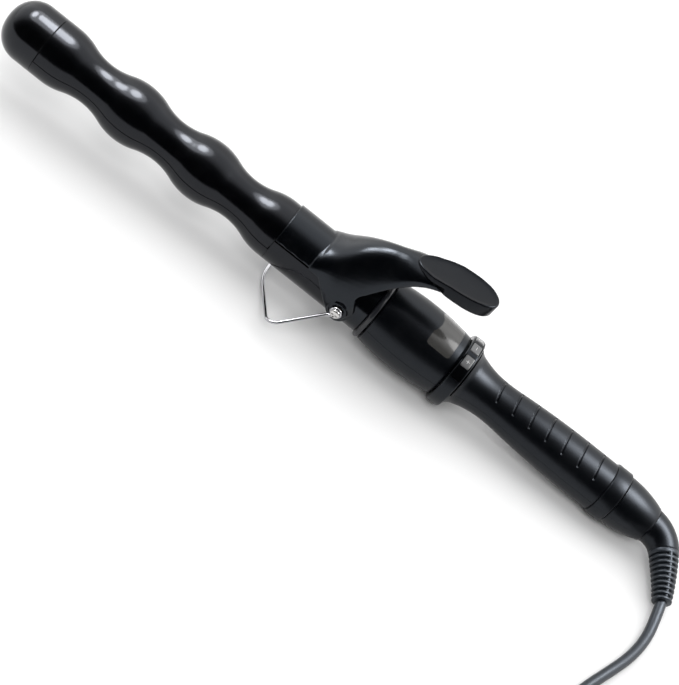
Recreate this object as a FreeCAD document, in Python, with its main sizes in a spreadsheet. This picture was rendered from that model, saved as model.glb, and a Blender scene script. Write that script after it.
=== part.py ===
"""Curling iron with a wavy clamp barrel, a thumb lever, a wire stand, a digital handle and a swivel cord.

Every piece of the iron is drawn in the iron's own frame: X is the station along the barrel's axis from
the rounded tip, Z points up to the thumb lever and Y is the lever's pivot. The whole iron is then set
down as it rests on a table, on its wire stand and its control ring, so that Z = 0 is the table. The cord,
its coil and the plug lie on that table and are drawn there directly.
"""
import FreeCAD, Part
import math
import os

import Sketcher
from FreeCAD import Placement, Rotation, Vector

SIZES = [
    # barrel and clip
    ("barrel_r", 15.9),
    ("waist_r", 11.8),
    ("wave_pitch", 44.25),
    ("first_crest", 30.9),
    ("barrel_start", 23.6),
    ("barrel_end", 206.0),
    ("barrel_wall", 2.3),
    ("base_bore_r", 12.2),
    ("clip_recess", 1.4),
    ("clip_wall", 1.15),
    ("clip_end", 166.5),
    ("tail_end", 197.0),
    ("tail_recess_r", 13.6),
    ("tip_dome_r", 14.0),
    ("tip_flat_r", 1.9),
    ("spigot_length", 8.0),
    # pivot and lever
    ("pivot_station", 211.3),
    ("pivot_r", 1.5),
    ("bush_r", 2.6),
    ("running_gap", 0.06),
    ("cheek_inner", 16.9),
    ("cheek_outer", 19.4),
    ("boss_r", 5.0),
    ("boss_face", 20.0),
    ("screw_face", 22.0),
    ("screw_head_r", 2.6),
    ("screw_head", 1.2),
    ("neck_inner_r", 15.95),
    ("neck_outer_r", 16.65),
    ("neck_start", 166.9),
    ("neck_end", 200.0),
    ("neck_sweep", 134.0),
    ("arm_end", 243.4),
    ("paddle_centre", 246.9),
    ("paddle_half_length", 21.6),
    ("paddle_half_width", 9.4),
    # stand
    ("wire_r", 0.85),
    ("loop_r", 2.5),
    ("stand_y", 21.05),
    ("stand_reach", 45.45),
    ("stand_angle", 28.84),
    # collar, flange and housing
    ("collar_end", 224.3),
    ("flange_start", 224.5),
    ("flange_end", 227.4),
    ("flange_r", 17.6),
    ("housing_start", 228.0),
    ("housing_crest", 247.5),
    ("housing_end", 271.8),
    ("housing_start_r", 17.4),
    ("housing_crest_r", 19.0),
    ("housing_end_r", 17.0),
    ("shell_wall", 2.0),
    ("window_start", 253.7),
    ("window_end", 267.7),
    ("window_sweep", 84.0),
    ("ring_start", 272.2),
    ("ring_end", 279.4),
    ("ring_r", 19.5),
    ("ring_round", 1.2),
    ("button_length", 5.0),
    ("button_width", 6.4),
    ("button_gap", 0.3),
    ("button_spread", 27.0),
    # handle, collar, cap and swivel
    ("handle_start", 279.8),
    ("flare_r", 17.0),
    ("flare_end", 284.6),
    ("flare_end_r", 13.7),
    ("grip_neck", 300.0),
    ("grip_neck_r", 11.25),
    ("grip_crest", 352.0),
    ("grip_r", 13.5),
    ("handle_end", 367.9),
    ("groove_first", 298.4),
    ("groove_pitch", 10.05),
    ("groove_sweep", 96.0),
    ("groove_width", 1.1),
    ("rear_collar_r", 14.4),
    ("rear_collar_end", 377.2),
    ("cap_end", 398.4),
    ("cap_end_r", 9.7),
    ("swivel_stem_r", 5.0),
    ("elbow_start_r", 9.3),
    ("elbow_end_r", 7.7),
    ("elbow_bend_r", 15.0),
    ("elbow_bend", 61.0),
    ("swivel_turn", 80.0),
    ("relief_length", 27.0),
    ("relief_bend", 10.0),
    ("relief_end_r", 4.9),
    # cord and plug
    ("cord_r", 2.8),
    ("coil_r", 31.0),
    ("coil_height", 16.8),
    ("pin_r", 2.0),
    ("pin_length", 19.0),
    ("pin_spacing", 18.6),
    # where the middle of the iron's length is
    ("middle_station", 213.56),
]

doc = FreeCAD.newDocument("CurlingIron")
sheet = doc.addObject("Spreadsheet::Sheet", "Sizes")


class Size:
    """A size together with the sheet expression that gives it."""

    def __init__(self, value, text):
        self.value = value
        self.text = text

    def joined(self, other, sign, value):
        return Size(value, "(%s %s %s)" % (self.text, sign, text_of(other)))

    def __add__(self, other):
        return self.joined(other, "+", self.value + number(other))

    def __sub__(self, other):
        return self.joined(other, "-", self.value - number(other))

    def __mul__(self, other):
        return self.joined(other, "*", self.value * number(other))

    def __truediv__(self, other):
        return self.joined(other, "/", self.value / number(other))

    def __neg__(self):
        return Size(-self.value, "(0 - %s)" % self.text)


def number(size):
    return size.value if isinstance(size, Size) else float(size)


def text_of(size):
    return size.text if isinstance(size, Size) else "%.6f" % size


class Dimensions:
    """One attribute for each alias of the sheet."""


dim = Dimensions()
for row, (alias, value) in enumerate(SIZES, start=1):
    sheet.set("A%d" % row, alias)
    sheet.set("B%d" % row, str(value))
    sheet.setAlias("B%d" % row, alias)
    setattr(dim, alias, Size(value, "Sizes." + alias))
doc.recompute()


# ---------------------------------------------------------------- helpers

def bind(thing, prop, size):
    """Set a property from a size and keep it bound to the sheet."""
    if isinstance(size, Size):
        thing.setExpression(prop, size.text)


def origin_plane(body, role):
    return [plane for plane in body.Origin.OriginFeatures if plane.Role == role][0]


def new_sketch(body, name, role="XZ_Plane"):
    sketch = body.newObject("Sketcher::SketchObject", name)
    sketch.AttachmentSupport = [(origin_plane(body, role), "")]
    sketch.MapMode = "FlatFace"
    return sketch


def arc_between(start, end, radius):
    """Return the minor arc from start to end; a positive radius has its centre on the left."""
    chord = end - start
    half = chord.Length / 2
    left = Vector(-chord.y, chord.x, 0) / chord.Length
    reach = math.sqrt(max(radius * radius - half * half, 0.0))
    centre = (start + end) / 2 + left * math.copysign(reach, radius)
    first, last = (start, end) if radius > 0 else (end, start)
    angles = [math.atan2(point.y - centre.y, point.x - centre.x) for point in (first, last)]
    circle = Part.Circle(centre, Vector(0, 0, 1), abs(radius))
    return Part.ArcOfCircle(circle, angles[0], angles[1])


def pin_point(sketch, geo, end, axis, size):
    """Hold one coordinate of a corner: on the axis itself, or at a bound distance from it."""
    if abs(number(size)) < 1e-9:
        sketch.addConstraint(Sketcher.Constraint("PointOnObject", geo, end, -2 if axis == "X" else -1))
        return
    place = sketch.addConstraint(Sketcher.Constraint("Distance" + axis, geo, end, number(size)))
    bind(sketch, "Constraints[%d]" % place, size)


def draw(sketch, outline):
    """Draw a closed outline of corners (x, y), or (x, y, radius) where an arc leads to the next corner."""
    corners = [Vector(number(corner[0]), number(corner[1]), 0) for corner in outline]
    ends = []
    for index, corner in enumerate(outline):
        start, end = corners[index], corners[(index + 1) % len(corners)]
        if len(corner) == 3:
            geo = sketch.addGeometry(arc_between(start, end, number(corner[2])), False)
            ends.append((geo, 1, 2) if number(corner[2]) > 0 else (geo, 2, 1))
        else:
            geo = sketch.addGeometry(Part.LineSegment(start, end), False)
            ends.append((geo, 1, 2))
    for index, corner in enumerate(outline):
        geo, first, last = ends[index]
        following = ends[(index + 1) % len(ends)]
        sketch.addConstraint(Sketcher.Constraint("Coincident", geo, last, following[0], following[1]))
        pin_point(sketch, geo, first, "X", corner[0])
        pin_point(sketch, geo, first, "Y", corner[1])
        if len(corner) == 3:
            place = sketch.addConstraint(Sketcher.Constraint("Radius", geo, abs(number(corner[2]))))
            size = corner[2] if number(corner[2]) > 0 or not isinstance(corner[2], Size) else -corner[2]
            bind(sketch, "Constraints[%d]" % place, size)


def turned(name, outline, sweep=360.0):
    """Turn an outline of (station, radius) corners about the iron's axis, centred on the top side."""
    body = doc.addObject("PartDesign::Body", name)
    sketch = new_sketch(body, name + "_outline")
    draw(sketch, outline)
    feature = body.newObject("PartDesign::Revolution", name + "_turn")
    feature.Profile = sketch
    feature.ReferenceAxis = (sketch, ["H_Axis"])
    feature.Angle = number(sweep)
    bind(feature, "Angle", sweep)
    feature.Midplane = number(sweep) < 360
    doc.recompute()
    return body


def groove(body, name, outline, sweep=360.0):
    """Turn away an outline from a body, centred on its top side."""
    before = body.Shape.Volume
    sketch = new_sketch(body, name + "_outline")
    draw(sketch, outline)
    feature = body.newObject("PartDesign::Groove", name)
    feature.Profile = sketch
    feature.ReferenceAxis = (sketch, ["H_Axis"])
    feature.Angle = number(sweep)
    bind(feature, "Angle", sweep)
    feature.Midplane = number(sweep) < 360
    doc.recompute()
    if body.Shape.Volume >= before - 0.01:
        raise RuntimeError(name + " cuts nothing")
    return body


def slab(name, outline, width, role="XZ_Plane", symmetric=True):
    """Pad an outline on one of the origin planes, evenly to both sides or to the positive one."""
    body = doc.addObject("PartDesign::Body", name)
    sketch = new_sketch(body, name + "_outline", role)
    draw(sketch, outline)
    feature = body.newObject("PartDesign::Pad", name + "_pad")
    feature.Profile = sketch
    feature.Length = number(width)
    bind(feature, "Length", width)
    if symmetric:
        feature.SideType = "Symmetric"
    doc.recompute()
    return body


def set_place(thing, corner, rotation):
    thing.Placement = Placement(Vector(*[number(size) for size in corner]), rotation)
    for axis, size in zip("xyz", corner):
        bind(thing, "Placement.Base." + axis, size)


ROTATIONS = {
    "X": Rotation(Vector(0, 1, 0), 90),
    "Y": Rotation(Vector(1, 0, 0), -90),
    "Z": Rotation(),
}


def rod(name, base, axis, length, radius):
    """A cylinder that stands on base and runs along +X, +Y or +Z."""
    thing = doc.addObject("Part::Cylinder", name)
    thing.Radius = number(radius)
    thing.Height = number(length)
    bind(thing, "Radius", radius)
    bind(thing, "Height", length)
    set_place(thing, base, ROTATIONS[axis])
    return thing


def block(name, corner, lengths):
    """A box from its lowest corner."""
    thing = doc.addObject("Part::Box", name)
    for prop, size in zip(("Length", "Width", "Height"), lengths):
        setattr(thing, prop, number(size))
        bind(thing, prop, size)
    set_place(thing, corner, Rotation())
    return thing


def fused(name, things):
    thing = doc.addObject("Part::MultiFuse", name)
    thing.Shapes = things
    return thing


def common(name, things):
    thing = doc.addObject("Part::MultiCommon", name)
    thing.Shapes = things
    return thing


def less(name, base, tools):
    """Cut one or more tools from a base."""
    thing = doc.addObject("Part::Cut", name)
    thing.Base = base
    thing.Tool = tools[0] if len(tools) == 1 else fused(name + "_tools", tools)
    return thing


def group(name, things):
    """Keep things as they are, as separate solids or as the placed copy of a tool."""
    thing = doc.addObject("Part::Compound", name)
    thing.Links = things
    return thing


def about_axis(name, thing, turn):
    """A copy of a thing turned about the iron's axis, from the top towards -Y for a positive turn."""
    copy = group(name, [thing])
    copy.Placement = Placement(Vector(), Rotation(Vector(1, 0, 0), turn))
    return copy


nodes = []


def node(label, thing, turn=0.0, placed=True):
    """Name a finished piece; placed pieces are set down with the iron, after a turn about its axis."""
    thing.Label = label
    nodes.append((thing, turn, placed))
    return thing


# ---------------------------------------------------------------- the wave of the barrel

swing = (dim.barrel_r - dim.waist_r) / 2
quarter = dim.wave_pitch / 4
middle_r = (dim.barrel_r + dim.waist_r) / 2
wave_r = (quarter * quarter + swing * swing) / (swing * 2)
lean = math.asin(number(quarter) / number(wave_r))
last_crest = dim.first_crest + dim.wave_pitch * 3


def wave(depth):
    """Corners from the first crest to the last, a depth below the surface, each with its arc."""
    corners = [(dim.first_crest, dim.barrel_r - depth, -(wave_r - depth))]
    for turn in range(6):
        falling = turn % 2 == 0
        shift = -math.sin(lean) if falling else math.sin(lean)
        station = dim.first_crest + dim.wave_pitch * (turn / 2 + 0.25) + depth * shift
        radius = middle_r - depth * math.cos(lean)
        corners.append((station, radius, wave_r + depth if falling else -(wave_r - depth)))
    corners.append((last_crest, dim.barrel_r - depth))
    return corners


def backwards(corners):
    """The same corners from last to first, with each arc kept on its own edge and side."""
    turned_round = []
    for index in range(len(corners) - 1, -1, -1):
        point = corners[index][:2]
        arc = corners[index - 1][2:] if index > 0 else ()
        turned_round.append(point + tuple(-radius for radius in arc))
    return turned_round


def band(outer_depth, inner_depth):
    """Outline of a wavy band between two depths, from the barrel's start to the last crest."""
    start = dim.barrel_start
    outer = [(start, dim.barrel_r - outer_depth)] + wave(outer_depth)
    inner = backwards(wave(inner_depth)) + [(start, dim.barrel_r - inner_depth)]
    return outer, inner


zero = dim.barrel_r - dim.barrel_r

# ---------------------------------------------------------------- tip, barrel and heater

tip_cap = turned("TipCap", [
    (0, 0),
    (0, dim.tip_flat_r, -dim.tip_dome_r),
    (dim.tip_dome_r, dim.barrel_r),
    (dim.barrel_start, dim.barrel_r),
    (dim.barrel_start, dim.barrel_r - dim.barrel_wall - 0.05),
    (dim.barrel_start + dim.spigot_length, dim.barrel_r - dim.barrel_wall - 0.05),
    (dim.barrel_start + dim.spigot_length, 11.6),
    (14, 11.6),
    (6, 8.5),
    (4, 0),
])
node("tip_cap", tip_cap)

outer, inner = band(zero, dim.barrel_wall)
barrel_tube = turned("Barrel", outer + [
    (dim.barrel_end, dim.barrel_r),
    (dim.barrel_end, dim.base_bore_r),
    (last_crest, dim.base_bore_r),
] + inner)
outer, inner = band(-dim.clip_recess, dim.clip_recess)
groove(barrel_tube, "ClipRecess", outer + [
    (dim.neck_start, dim.barrel_r + dim.clip_recess),
    (dim.neck_start, dim.barrel_r - dim.clip_recess),
] + inner, 181.0)
groove(barrel_tube, "TailRecess", [
    (dim.neck_start - 0.5, dim.tail_recess_r),
    (dim.neck_start - 0.5, dim.barrel_r + dim.clip_recess),
    (dim.barrel_end + 1, dim.barrel_r + dim.clip_recess),
    (dim.barrel_end + 1, dim.tail_recess_r),
], dim.neck_sweep + 4)
node("barrel_tube", barrel_tube)

HEATER_START = 34.0
HEATER_LENGTH = 124.0
HEATER_R = 8.9
PLATE_HALF = 1.0


def heater_block(name):
    """Half-round aluminium block that presses on one side of the ceramic plate."""
    whole = rod(name + "_bar", (HEATER_START, 0, 0), "X", HEATER_LENGTH, HEATER_R)
    keep = block(name + "_half", (HEATER_START - 1, -HEATER_R - 1, PLATE_HALF + 0.15),
                 (HEATER_LENGTH + 2, 2 * HEATER_R + 2, HEATER_R + 1))
    channels = [
        rod("%s_channel%d" % (name, place), (HEATER_START - 1, side, height), "X", HEATER_LENGTH + 2, radius)
        for place, (side, height, radius) in enumerate(((0, 4.9, 2.9), (-5.4, 3.7, 1.8), (5.4, 3.7, 1.8)))
    ]
    return less(name, common(name + "_blank", [whole, keep]), channels)


node("heater_block_upper", heater_block("HeaterUpper"))
node("heater_block_lower", heater_block("HeaterLower"), turn=180.0)
node("ceramic_heater", group("CeramicHeater", [
    block("HeaterPlate", (HEATER_START + 2, -6.5, -PLATE_HALF), (HEATER_LENGTH - 4, 13.0, 2 * PLATE_HALF)),
]))
node("heat_spring_rings", group("HeatSpringRings", [
    less("SpringRing%d" % place,
         rod("SpringRingOuter%d" % place, (station, 0, 0), "X", 3.0, HEATER_R + 0.25),
         [rod("SpringRingInner%d" % place, (station - 1, 0, 0), "X", 5.0, HEATER_R + 0.02)])
    for place, station in enumerate((last_crest.value - 2.5 * dim.wave_pitch.value - 1.5,
                                     last_crest.value - 1.5 * dim.wave_pitch.value - 1.5))
]))
node("heater_wires", group("HeaterWires", [
    rod("HeaterWire%d" % side, (HEATER_START + HEATER_LENGTH - 1.9, 3.5 * side, 0), "X", 76.0, 0.7)
    for side in (-1, 1)
]))
node("thermistor", group("Thermistor", [
    rod("ThermistorBead", (HEATER_START + HEATER_LENGTH + 1, 0, 5.0), "X", 6.0, 1.4),
]))
node("thermal_fuse", group("ThermalFuse", [
    rod("FuseBody", (HEATER_START + HEATER_LENGTH + 2, 0, -5.0), "X", 12.0, 2.0),
]))
node("heat_barrier", less(
    "HeatBarrier",
    rod("BarrierDisc", (184.0, 0, 0), "X", 8.0, dim.base_bore_r - 0.05),
    [rod("BarrierHole%d" % side, (183.0, 3.5 * side, 0), "X", 10.0, 1.0) for side in (-1, 1)]))

# ---------------------------------------------------------------- pivot collar and flange

SEAT_STATION = 218.5
SEAT_TOP = 16.3
collar_body = turned("CollarBody", [
    (dim.barrel_end - 10, 10.0),
    (dim.barrel_end - 10, dim.base_bore_r - 0.05),
    (dim.barrel_end, dim.base_bore_r - 0.05),
    (dim.barrel_end, dim.barrel_r),
    (dim.collar_end, dim.barrel_r),
    (dim.collar_end, 13.0),
    (dim.housing_start + 6, 13.0),
    (dim.housing_start + 6, 10.0),
])
collar_seat = rod("SpringSeat", (SEAT_STATION, 0, 14.0), "Z", SEAT_TOP - 14.0, 4.2)
pivot_holes = [
    rod("PivotHoleLeft", (dim.pivot_station, -19.0, 0), "Y", 10.0, dim.pivot_r),
    rod("PivotHoleRight", (dim.pivot_station, 9.0, 0), "Y", 10.0, dim.pivot_r),
]
node("pivot_collar", less("PivotCollar", fused("CollarWhole", [collar_body, collar_seat]), pivot_holes))

node("flange_ring", turned("FlangeRing", [
    (dim.flange_start, 13.1),
    (dim.flange_start, dim.flange_r - 0.6),
    (dim.flange_start + 0.6, dim.flange_r),
    (dim.flange_end - 0.6, dim.flange_r),
    (dim.flange_end, dim.flange_r - 0.6),
    (dim.flange_end, 13.1),
]))


def pivot_screw(name, side):
    """Shoulder screw that carries one cheek of the lever and one loop of the stand."""
    shaft = rod(name + "_shaft", (dim.pivot_station, 10.4 if side > 0 else -dim.screw_face, 0), "Y",
                dim.screw_face - 10.4, dim.pivot_r)
    foot = dim.screw_face if side > 0 else -(dim.screw_face + dim.screw_head)
    head = rod(name + "_head", (dim.pivot_station, foot, 0), "Y", dim.screw_head, dim.screw_head_r)
    slot_foot = dim.screw_face + dim.screw_head - 0.6 if side > 0 else -(dim.screw_face + dim.screw_head + 0.4)
    slots = [
        block(name + "_slot_x", (dim.pivot_station - 1.6, slot_foot, -0.3), (3.2, 1.0, 0.6)),
        block(name + "_slot_z", (dim.pivot_station - 0.3, slot_foot, -1.6), (0.6, 1.0, 3.2)),
    ]
    return less(name, fused(name + "_whole", [shaft, head]), slots)


node("pivot_screws", group("PivotScrews", [pivot_screw("ScrewLeft", -1), pivot_screw("ScrewRight", 1)]))

# ---------------------------------------------------------------- clip plate and lever

outer, inner = band(zero, dim.clip_wall)
inner[-1] = (dim.barrel_start + 0.3, dim.barrel_r - dim.clip_wall)
outer[0] = (dim.barrel_start + 0.3, dim.barrel_r)
clip_shell = turned("ClipShell", outer + [
    (dim.clip_end, dim.barrel_r),
    (dim.clip_end, dim.barrel_r - dim.clip_wall),
] + inner, 180.0)
clip_tail = turned("ClipTail", [
    (dim.clip_end - 0.5, dim.barrel_r - dim.clip_wall),
    (dim.clip_end - 0.5, dim.barrel_r),
    (dim.tail_end, dim.barrel_r),
    (dim.tail_end, dim.barrel_r - dim.clip_wall),
], dim.neck_sweep - 4)
TAIL_SCREWS = (190.5, 194.5)
tail_screws = [
    fused("TailScrew%d" % place, [
        rod("TailScrewShaft%d" % place, (station, 0, 14.6), "Z", 2.3, 0.9),
        rod("TailScrewHead%d" % place, (station, 0, 13.9), "Z", 0.7, 1.7),
    ])
    for place, station in enumerate(TAIL_SCREWS)
]
node("clip_plate", less("ClipPlate", fused("ClipWhole", [clip_shell, clip_tail]), tail_screws))
node("clip_screws", group("ClipScrews", tail_screws))

neck = turned("Neck", [
    (dim.neck_start, dim.neck_inner_r),
    (dim.neck_start, dim.neck_outer_r),
    (dim.neck_end, dim.neck_outer_r),
    (dim.neck_end, dim.neck_inner_r),
], dim.neck_sweep)
arm_side = slab("ArmSide", [
    (188.5, 6.3),
    (188.5, 16.6),
    (196.0, 23.5, -75.0),
    (228.0, 41.0),
    (dim.arm_end, 43.5),
    (dim.arm_end, 39.6, 80.0),
    (217.5, 16.0, 8.0),
    (214.6, 11.0),
    (218.3, 3.0, -7.0),
    (207.0, -4.9),
    (201.5, 0.5),
    (194.0, 6.3),
], dim.cheek_outer * 2)
arm_front = slab("ArmFront", [
    (-dim.cheek_outer, -9.0),
    (dim.cheek_outer, -9.0),
    (dim.cheek_outer, 6.0, 60.0),
    (12.5, 36.0, 14.0),
    (6.0, 44.0),
    (-6.0, 44.0, 14.0),
    (-12.5, 36.0, 60.0),
    (-dim.cheek_outer, 6.0),
], 260.0, role="YZ_Plane", symmetric=False)
arm_plan = slab("ArmPlan", [
    (180.0, -dim.neck_outer_r),
    (194.0, -dim.neck_outer_r),
    (202.0, -dim.cheek_outer),
    (219.0, -dim.cheek_outer),
    (226.0, -13.5, -60.0),
    (245.0, -5.6),
    (245.0, 5.6, -60.0),
    (226.0, 13.5),
    (219.0, dim.cheek_outer),
    (202.0, dim.cheek_outer),
    (194.0, dim.neck_outer_r),
    (180.0, dim.neck_outer_r),
], 120.0, role="XY_Plane")
bosses = [
    rod("BossLeft", (dim.pivot_station, -dim.boss_face, 0), "Y", 2.0, dim.boss_r),
    rod("BossRight", (dim.pivot_station, dim.boss_face - 2.0, 0), "Y", 2.0, dim.boss_r),
]

PADDLE_SIDE = [
    (225.0, 40.2),
    (225.0, 43.4, -90.0),
    (250.0, 48.9, -120.0),
    (268.6, 50.7),
    (268.6, 42.2),
    (243.7, 41.0),
    (243.7, 44.2),
    (235.0, 41.9),
]
oval = slab("PaddleOval", [
    (dim.paddle_centre - dim.paddle_half_length, -3.0, 4.6),
    (dim.paddle_centre - dim.paddle_half_length + 6.0, -dim.paddle_half_width + 1.2, 40.0),
    (dim.paddle_centre, -dim.paddle_half_width, 40.0),
    (dim.paddle_centre + dim.paddle_half_length - 6.0, -dim.paddle_half_width + 2.2, 8.0),
    (dim.paddle_centre + dim.paddle_half_length, 0, 8.0),
    (dim.paddle_centre + dim.paddle_half_length - 6.0, dim.paddle_half_width - 2.2, 40.0),
    (dim.paddle_centre, dim.paddle_half_width, 40.0),
    (dim.paddle_centre - dim.paddle_half_length + 6.0, dim.paddle_half_width - 1.2, 4.6),
    (dim.paddle_centre - dim.paddle_half_length, 3.0),
], 120.0, role="XY_Plane")
paddle_screw = fused("PaddleScrewWhole", [
    rod("PaddleScrewShaft", (238.5, 0, 38.2), "Z", 5.6, 0.9),
    rod("PaddleScrewHead", (238.5, 0, 36.4), "Z", 1.8, 1.9),
])
paddle = less("Paddle", common("PaddleBlank", [slab("PaddleSide", PADDLE_SIDE, 24.0), oval]), [paddle_screw])

# Room for the collar when the lever is fully open: the collar's cylinder as the lever then sees it.
LEVER_OPEN_DEGREES = 16.0
open_tunnel = rod("OpenTunnel", (dim.pivot_station, 0, 0), "X", 13.5, 16.35)
set_place(open_tunnel, (dim.pivot_station, 0, 0), Rotation(Vector(0, 1, 0), -LEVER_OPEN_DEGREES) * ROTATIONS["X"])

tunnels = [
    open_tunnel,
    rod("NeckTunnel", (150.0, 0, 0), "X", dim.neck_end - 150.0, dim.neck_inner_r),
    rod("CheekTunnel", (dim.neck_end, 0, 0), "X", 21.0, dim.cheek_inner),
    block("CheekGap", (190.0, -dim.cheek_inner, -30.0), (50.0, dim.cheek_inner * 2, 30.0)),
    slab("RearTunnel", [
        (200.0, 14.0),
        (200.0, 16.9),
        (213.0, 17.2),
        (217.3, 19.6),
        (218.6, 21.9),
        (222.0, 22.7),
        (236.0, 28.0),
        (236.0, 14.0),
    ], 27.0),
    slab("ArmHollow", [
        (206.0, 14.0),
        (206.0, 25.0),
        (212.0, 31.2),
        (224.0, 35.8),
        (231.0, 36.4),
        (231.0, 14.0),
    ], 16.0),
    rod("BushHoles", (dim.pivot_station, -25.0, 0), "Y", 50.0, dim.bush_r),
]
arm_blank = fused("ArmBlank", [common("ArmShape", [arm_side, arm_front, arm_plan]), neck] + bosses)
node("lever_arm", less("LeverArm", arm_blank, tunnels + [paddle, paddle_screw] + tail_screws))
node("thumb_paddle", group("ThumbPaddle", [paddle]))
node("paddle_screw", group("PaddleScrew", [paddle_screw]))


def bush(name, side):
    """Brass bush that lines the pivot hole of one cheek."""
    foot = dim.cheek_inner if side > 0 else -dim.boss_face
    outer_rod = rod(name + "_outer", (dim.pivot_station, foot, 0), "Y", dim.boss_face - dim.cheek_inner, dim.bush_r)
    bore = rod(name + "_bore", (dim.pivot_station, -25.0, 0), "Y", 50.0, dim.pivot_r + dim.running_gap)
    return less(name, outer_rod, [bore])


node("pivot_bushes", group("PivotBushes", [bush("BushLeft", -1), bush("BushRight", 1)]))
node("lever_spring", less(
    "LeverSpring",
    rod("SpringOuter", (SEAT_STATION, 0, SEAT_TOP), "Z", 15.6, 3.6),
    [rod("SpringInner", (SEAT_STATION, 0, SEAT_TOP - 1), "Z", 17.0, 2.6)]))

# ---------------------------------------------------------------- wire stand


def rounded_path(points, radii):
    """Straight runs joined by arcs that are tangent to them, with one radius for each inner point."""
    edges = []
    start = points[0]
    for index in range(1, len(points) - 1):
        corner = points[index]
        back = (points[index - 1] - corner).normalize()
        ahead = (points[index + 1] - corner).normalize()
        half = back.getAngle(ahead) / 2
        setback = radii[index - 1] / math.tan(half)
        first = corner + back * setback
        last = corner + ahead * setback
        bisector = (back + ahead).normalize()
        centre = corner + bisector * (radii[index - 1] / math.sin(half))
        middle = centre - bisector * radii[index - 1]
        if (first - start).Length > 1e-6:
            edges.append(Part.LineSegment(start, first).toShape())
        edges.append(Part.Arc(first, middle, last).toShape())
        start = last
    edges.append(Part.LineSegment(start, points[-1]).toShape())
    return Part.Wire(edges)


def swept(path, radius):
    """A round bar of one radius along a path."""
    start = path.Edges[0]
    tangent = start.tangentAt(start.FirstParameter)
    circle = Part.Circle(start.valueAt(start.FirstParameter), tangent, radius)
    profile = Part.Wire([circle.toShape()])
    return path.makePipeShell([profile], True, True)


stand_turn = math.radians(number(dim.stand_angle))
pivot_point = Vector(number(dim.pivot_station), 0, 0)
down_stand = Vector(-math.cos(stand_turn), 0, -math.sin(stand_turn))
under_stand = Vector(math.sin(stand_turn), 0, -math.cos(stand_turn))


def stand_point(side, reach):
    """A point of the stand's wire, in the plane that hangs from the pivot."""
    return pivot_point + Vector(0, side, 0) + down_stand * reach + under_stand * number(dim.loop_r)


LEG_REACH = 4.5
LEG_R = 4.0
CORNER_Y = 41.3
CORNER_REACH = 27.3
CORNER_R = 5.0
APEX_R = 30.0
reach = number(dim.stand_reach)
apex_slope = math.atan2(0.52, 1.0)
apex_corner = reach + APEX_R * (1 / math.cos(apex_slope) - 1)
stand_points = [
    stand_point(-number(dim.stand_y), 0.0),
    stand_point(-number(dim.stand_y), LEG_REACH),
    stand_point(-CORNER_Y, CORNER_REACH),
    stand_point(0.0, apex_corner),
    stand_point(CORNER_Y, CORNER_REACH),
    stand_point(number(dim.stand_y), LEG_REACH),
    stand_point(number(dim.stand_y), 0.0),
]
stand_bar = swept(rounded_path(stand_points, [LEG_R, CORNER_R, APEX_R, CORNER_R, LEG_R]), number(dim.wire_r))
loops = [
    Part.makeTorus(number(dim.loop_r), number(dim.wire_r) + 0.05,
                   pivot_point + Vector(0, side * number(dim.stand_y), 0), Vector(0, 1, 0))
    for side in (-1, 1)
]
stand = doc.addObject("Part::Feature", "Stand")
stand.Shape = stand_bar.fuse(loops)
node("stand_wire", stand)

# ---------------------------------------------------------------- housing, window and controls

FRONT_ARC = 119.0
REAR_ARC = 148.0
LIP_R = 13.1
housing_outline = [
    (dim.housing_start, LIP_R),
    (dim.housing_start, dim.housing_start_r, -FRONT_ARC),
    (dim.housing_crest, dim.housing_crest_r, -REAR_ARC),
    (dim.housing_end, dim.housing_end_r),
    (dim.housing_end, dim.housing_end_r - dim.shell_wall, REAR_ARC - 2.0),
    (dim.housing_crest, dim.housing_crest_r - dim.shell_wall, FRONT_ARC - 2.0),
    (dim.housing_start + 3.5, dim.housing_start_r - dim.shell_wall + 0.2),
    (dim.housing_start + 3.5, LIP_R),
]


def boss_and_screw(name, station, side, wall_r):
    """Screw pillar through both shells, the screw in it and the hole its driver needs from below."""
    pillar = rod(name + "_pillar", (station, side, -wall_r), "Z", 2 * wall_r, 2.6)
    head_face = -wall_r + 0.6
    screw = fused(name, [
        rod(name + "_shaft", (station, side, head_face + 1.2), "Z", 2 * wall_r - 4.0, 1.1),
        rod(name + "_head", (station, side, head_face), "Z", 1.4, 2.0),
    ])
    access = rod(name + "_access", (station, side, head_face - 8.0), "Z", 8.05, 2.1)
    return pillar, screw, access


def trimmed(name, shell, pillars, screws, cuts, upper):
    """A half shell with its screw pillars, screw holes and openings."""
    keep = block(name + "_half", (200.0, -40.0, 0.0 if upper else -40.0), (220.0, 80.0, 40.0))
    pillar_halves = [common("%s_pillar%d" % (name, place), [pillar, keep]) for place, pillar in enumerate(pillars)]
    return less(name, fused(name + "_blank", [shell] + pillar_halves), screws + cuts)


housing_top = turned("HousingTop", housing_outline, 180.0)
housing_bottom = group("HousingBottom", [turned("HousingBottomShell", housing_outline, 180.0)])
housing_bottom.Placement = Placement(Vector(), Rotation(Vector(1, 0, 0), 180))
window_outline = [
    (dim.window_start, 15.5),
    (dim.window_start, 18.83, -REAR_ARC),
    (dim.window_end, 17.62),
    (dim.window_end, 15.5),
]
window_band = turned("WindowBand", [
    (dim.window_start, 15.9),
    (dim.window_start, 22.0),
    (dim.window_end, 22.0),
    (dim.window_end, 15.9),
], dim.window_sweep)
window_lens = common("WindowLens", [window_band, turned("WindowSkin", housing_outline, 180.0)])
housing_screws = [boss_and_screw("HousingScrew%d" % side, 243.0, 9.5 * side, 15.2) for side in (-1, 1)]
node("housing_upper", trimmed("HousingUpper", housing_top, [item[0] for item in housing_screws],
                              [item[1] for item in housing_screws], [window_band], True))
node("housing_lower", trimmed("HousingLower", housing_bottom, [item[0] for item in housing_screws],
                              [item[1] for item in housing_screws], [item[2] for item in housing_screws], False))
node("display_window", group("DisplayWindow", [window_lens]))

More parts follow.
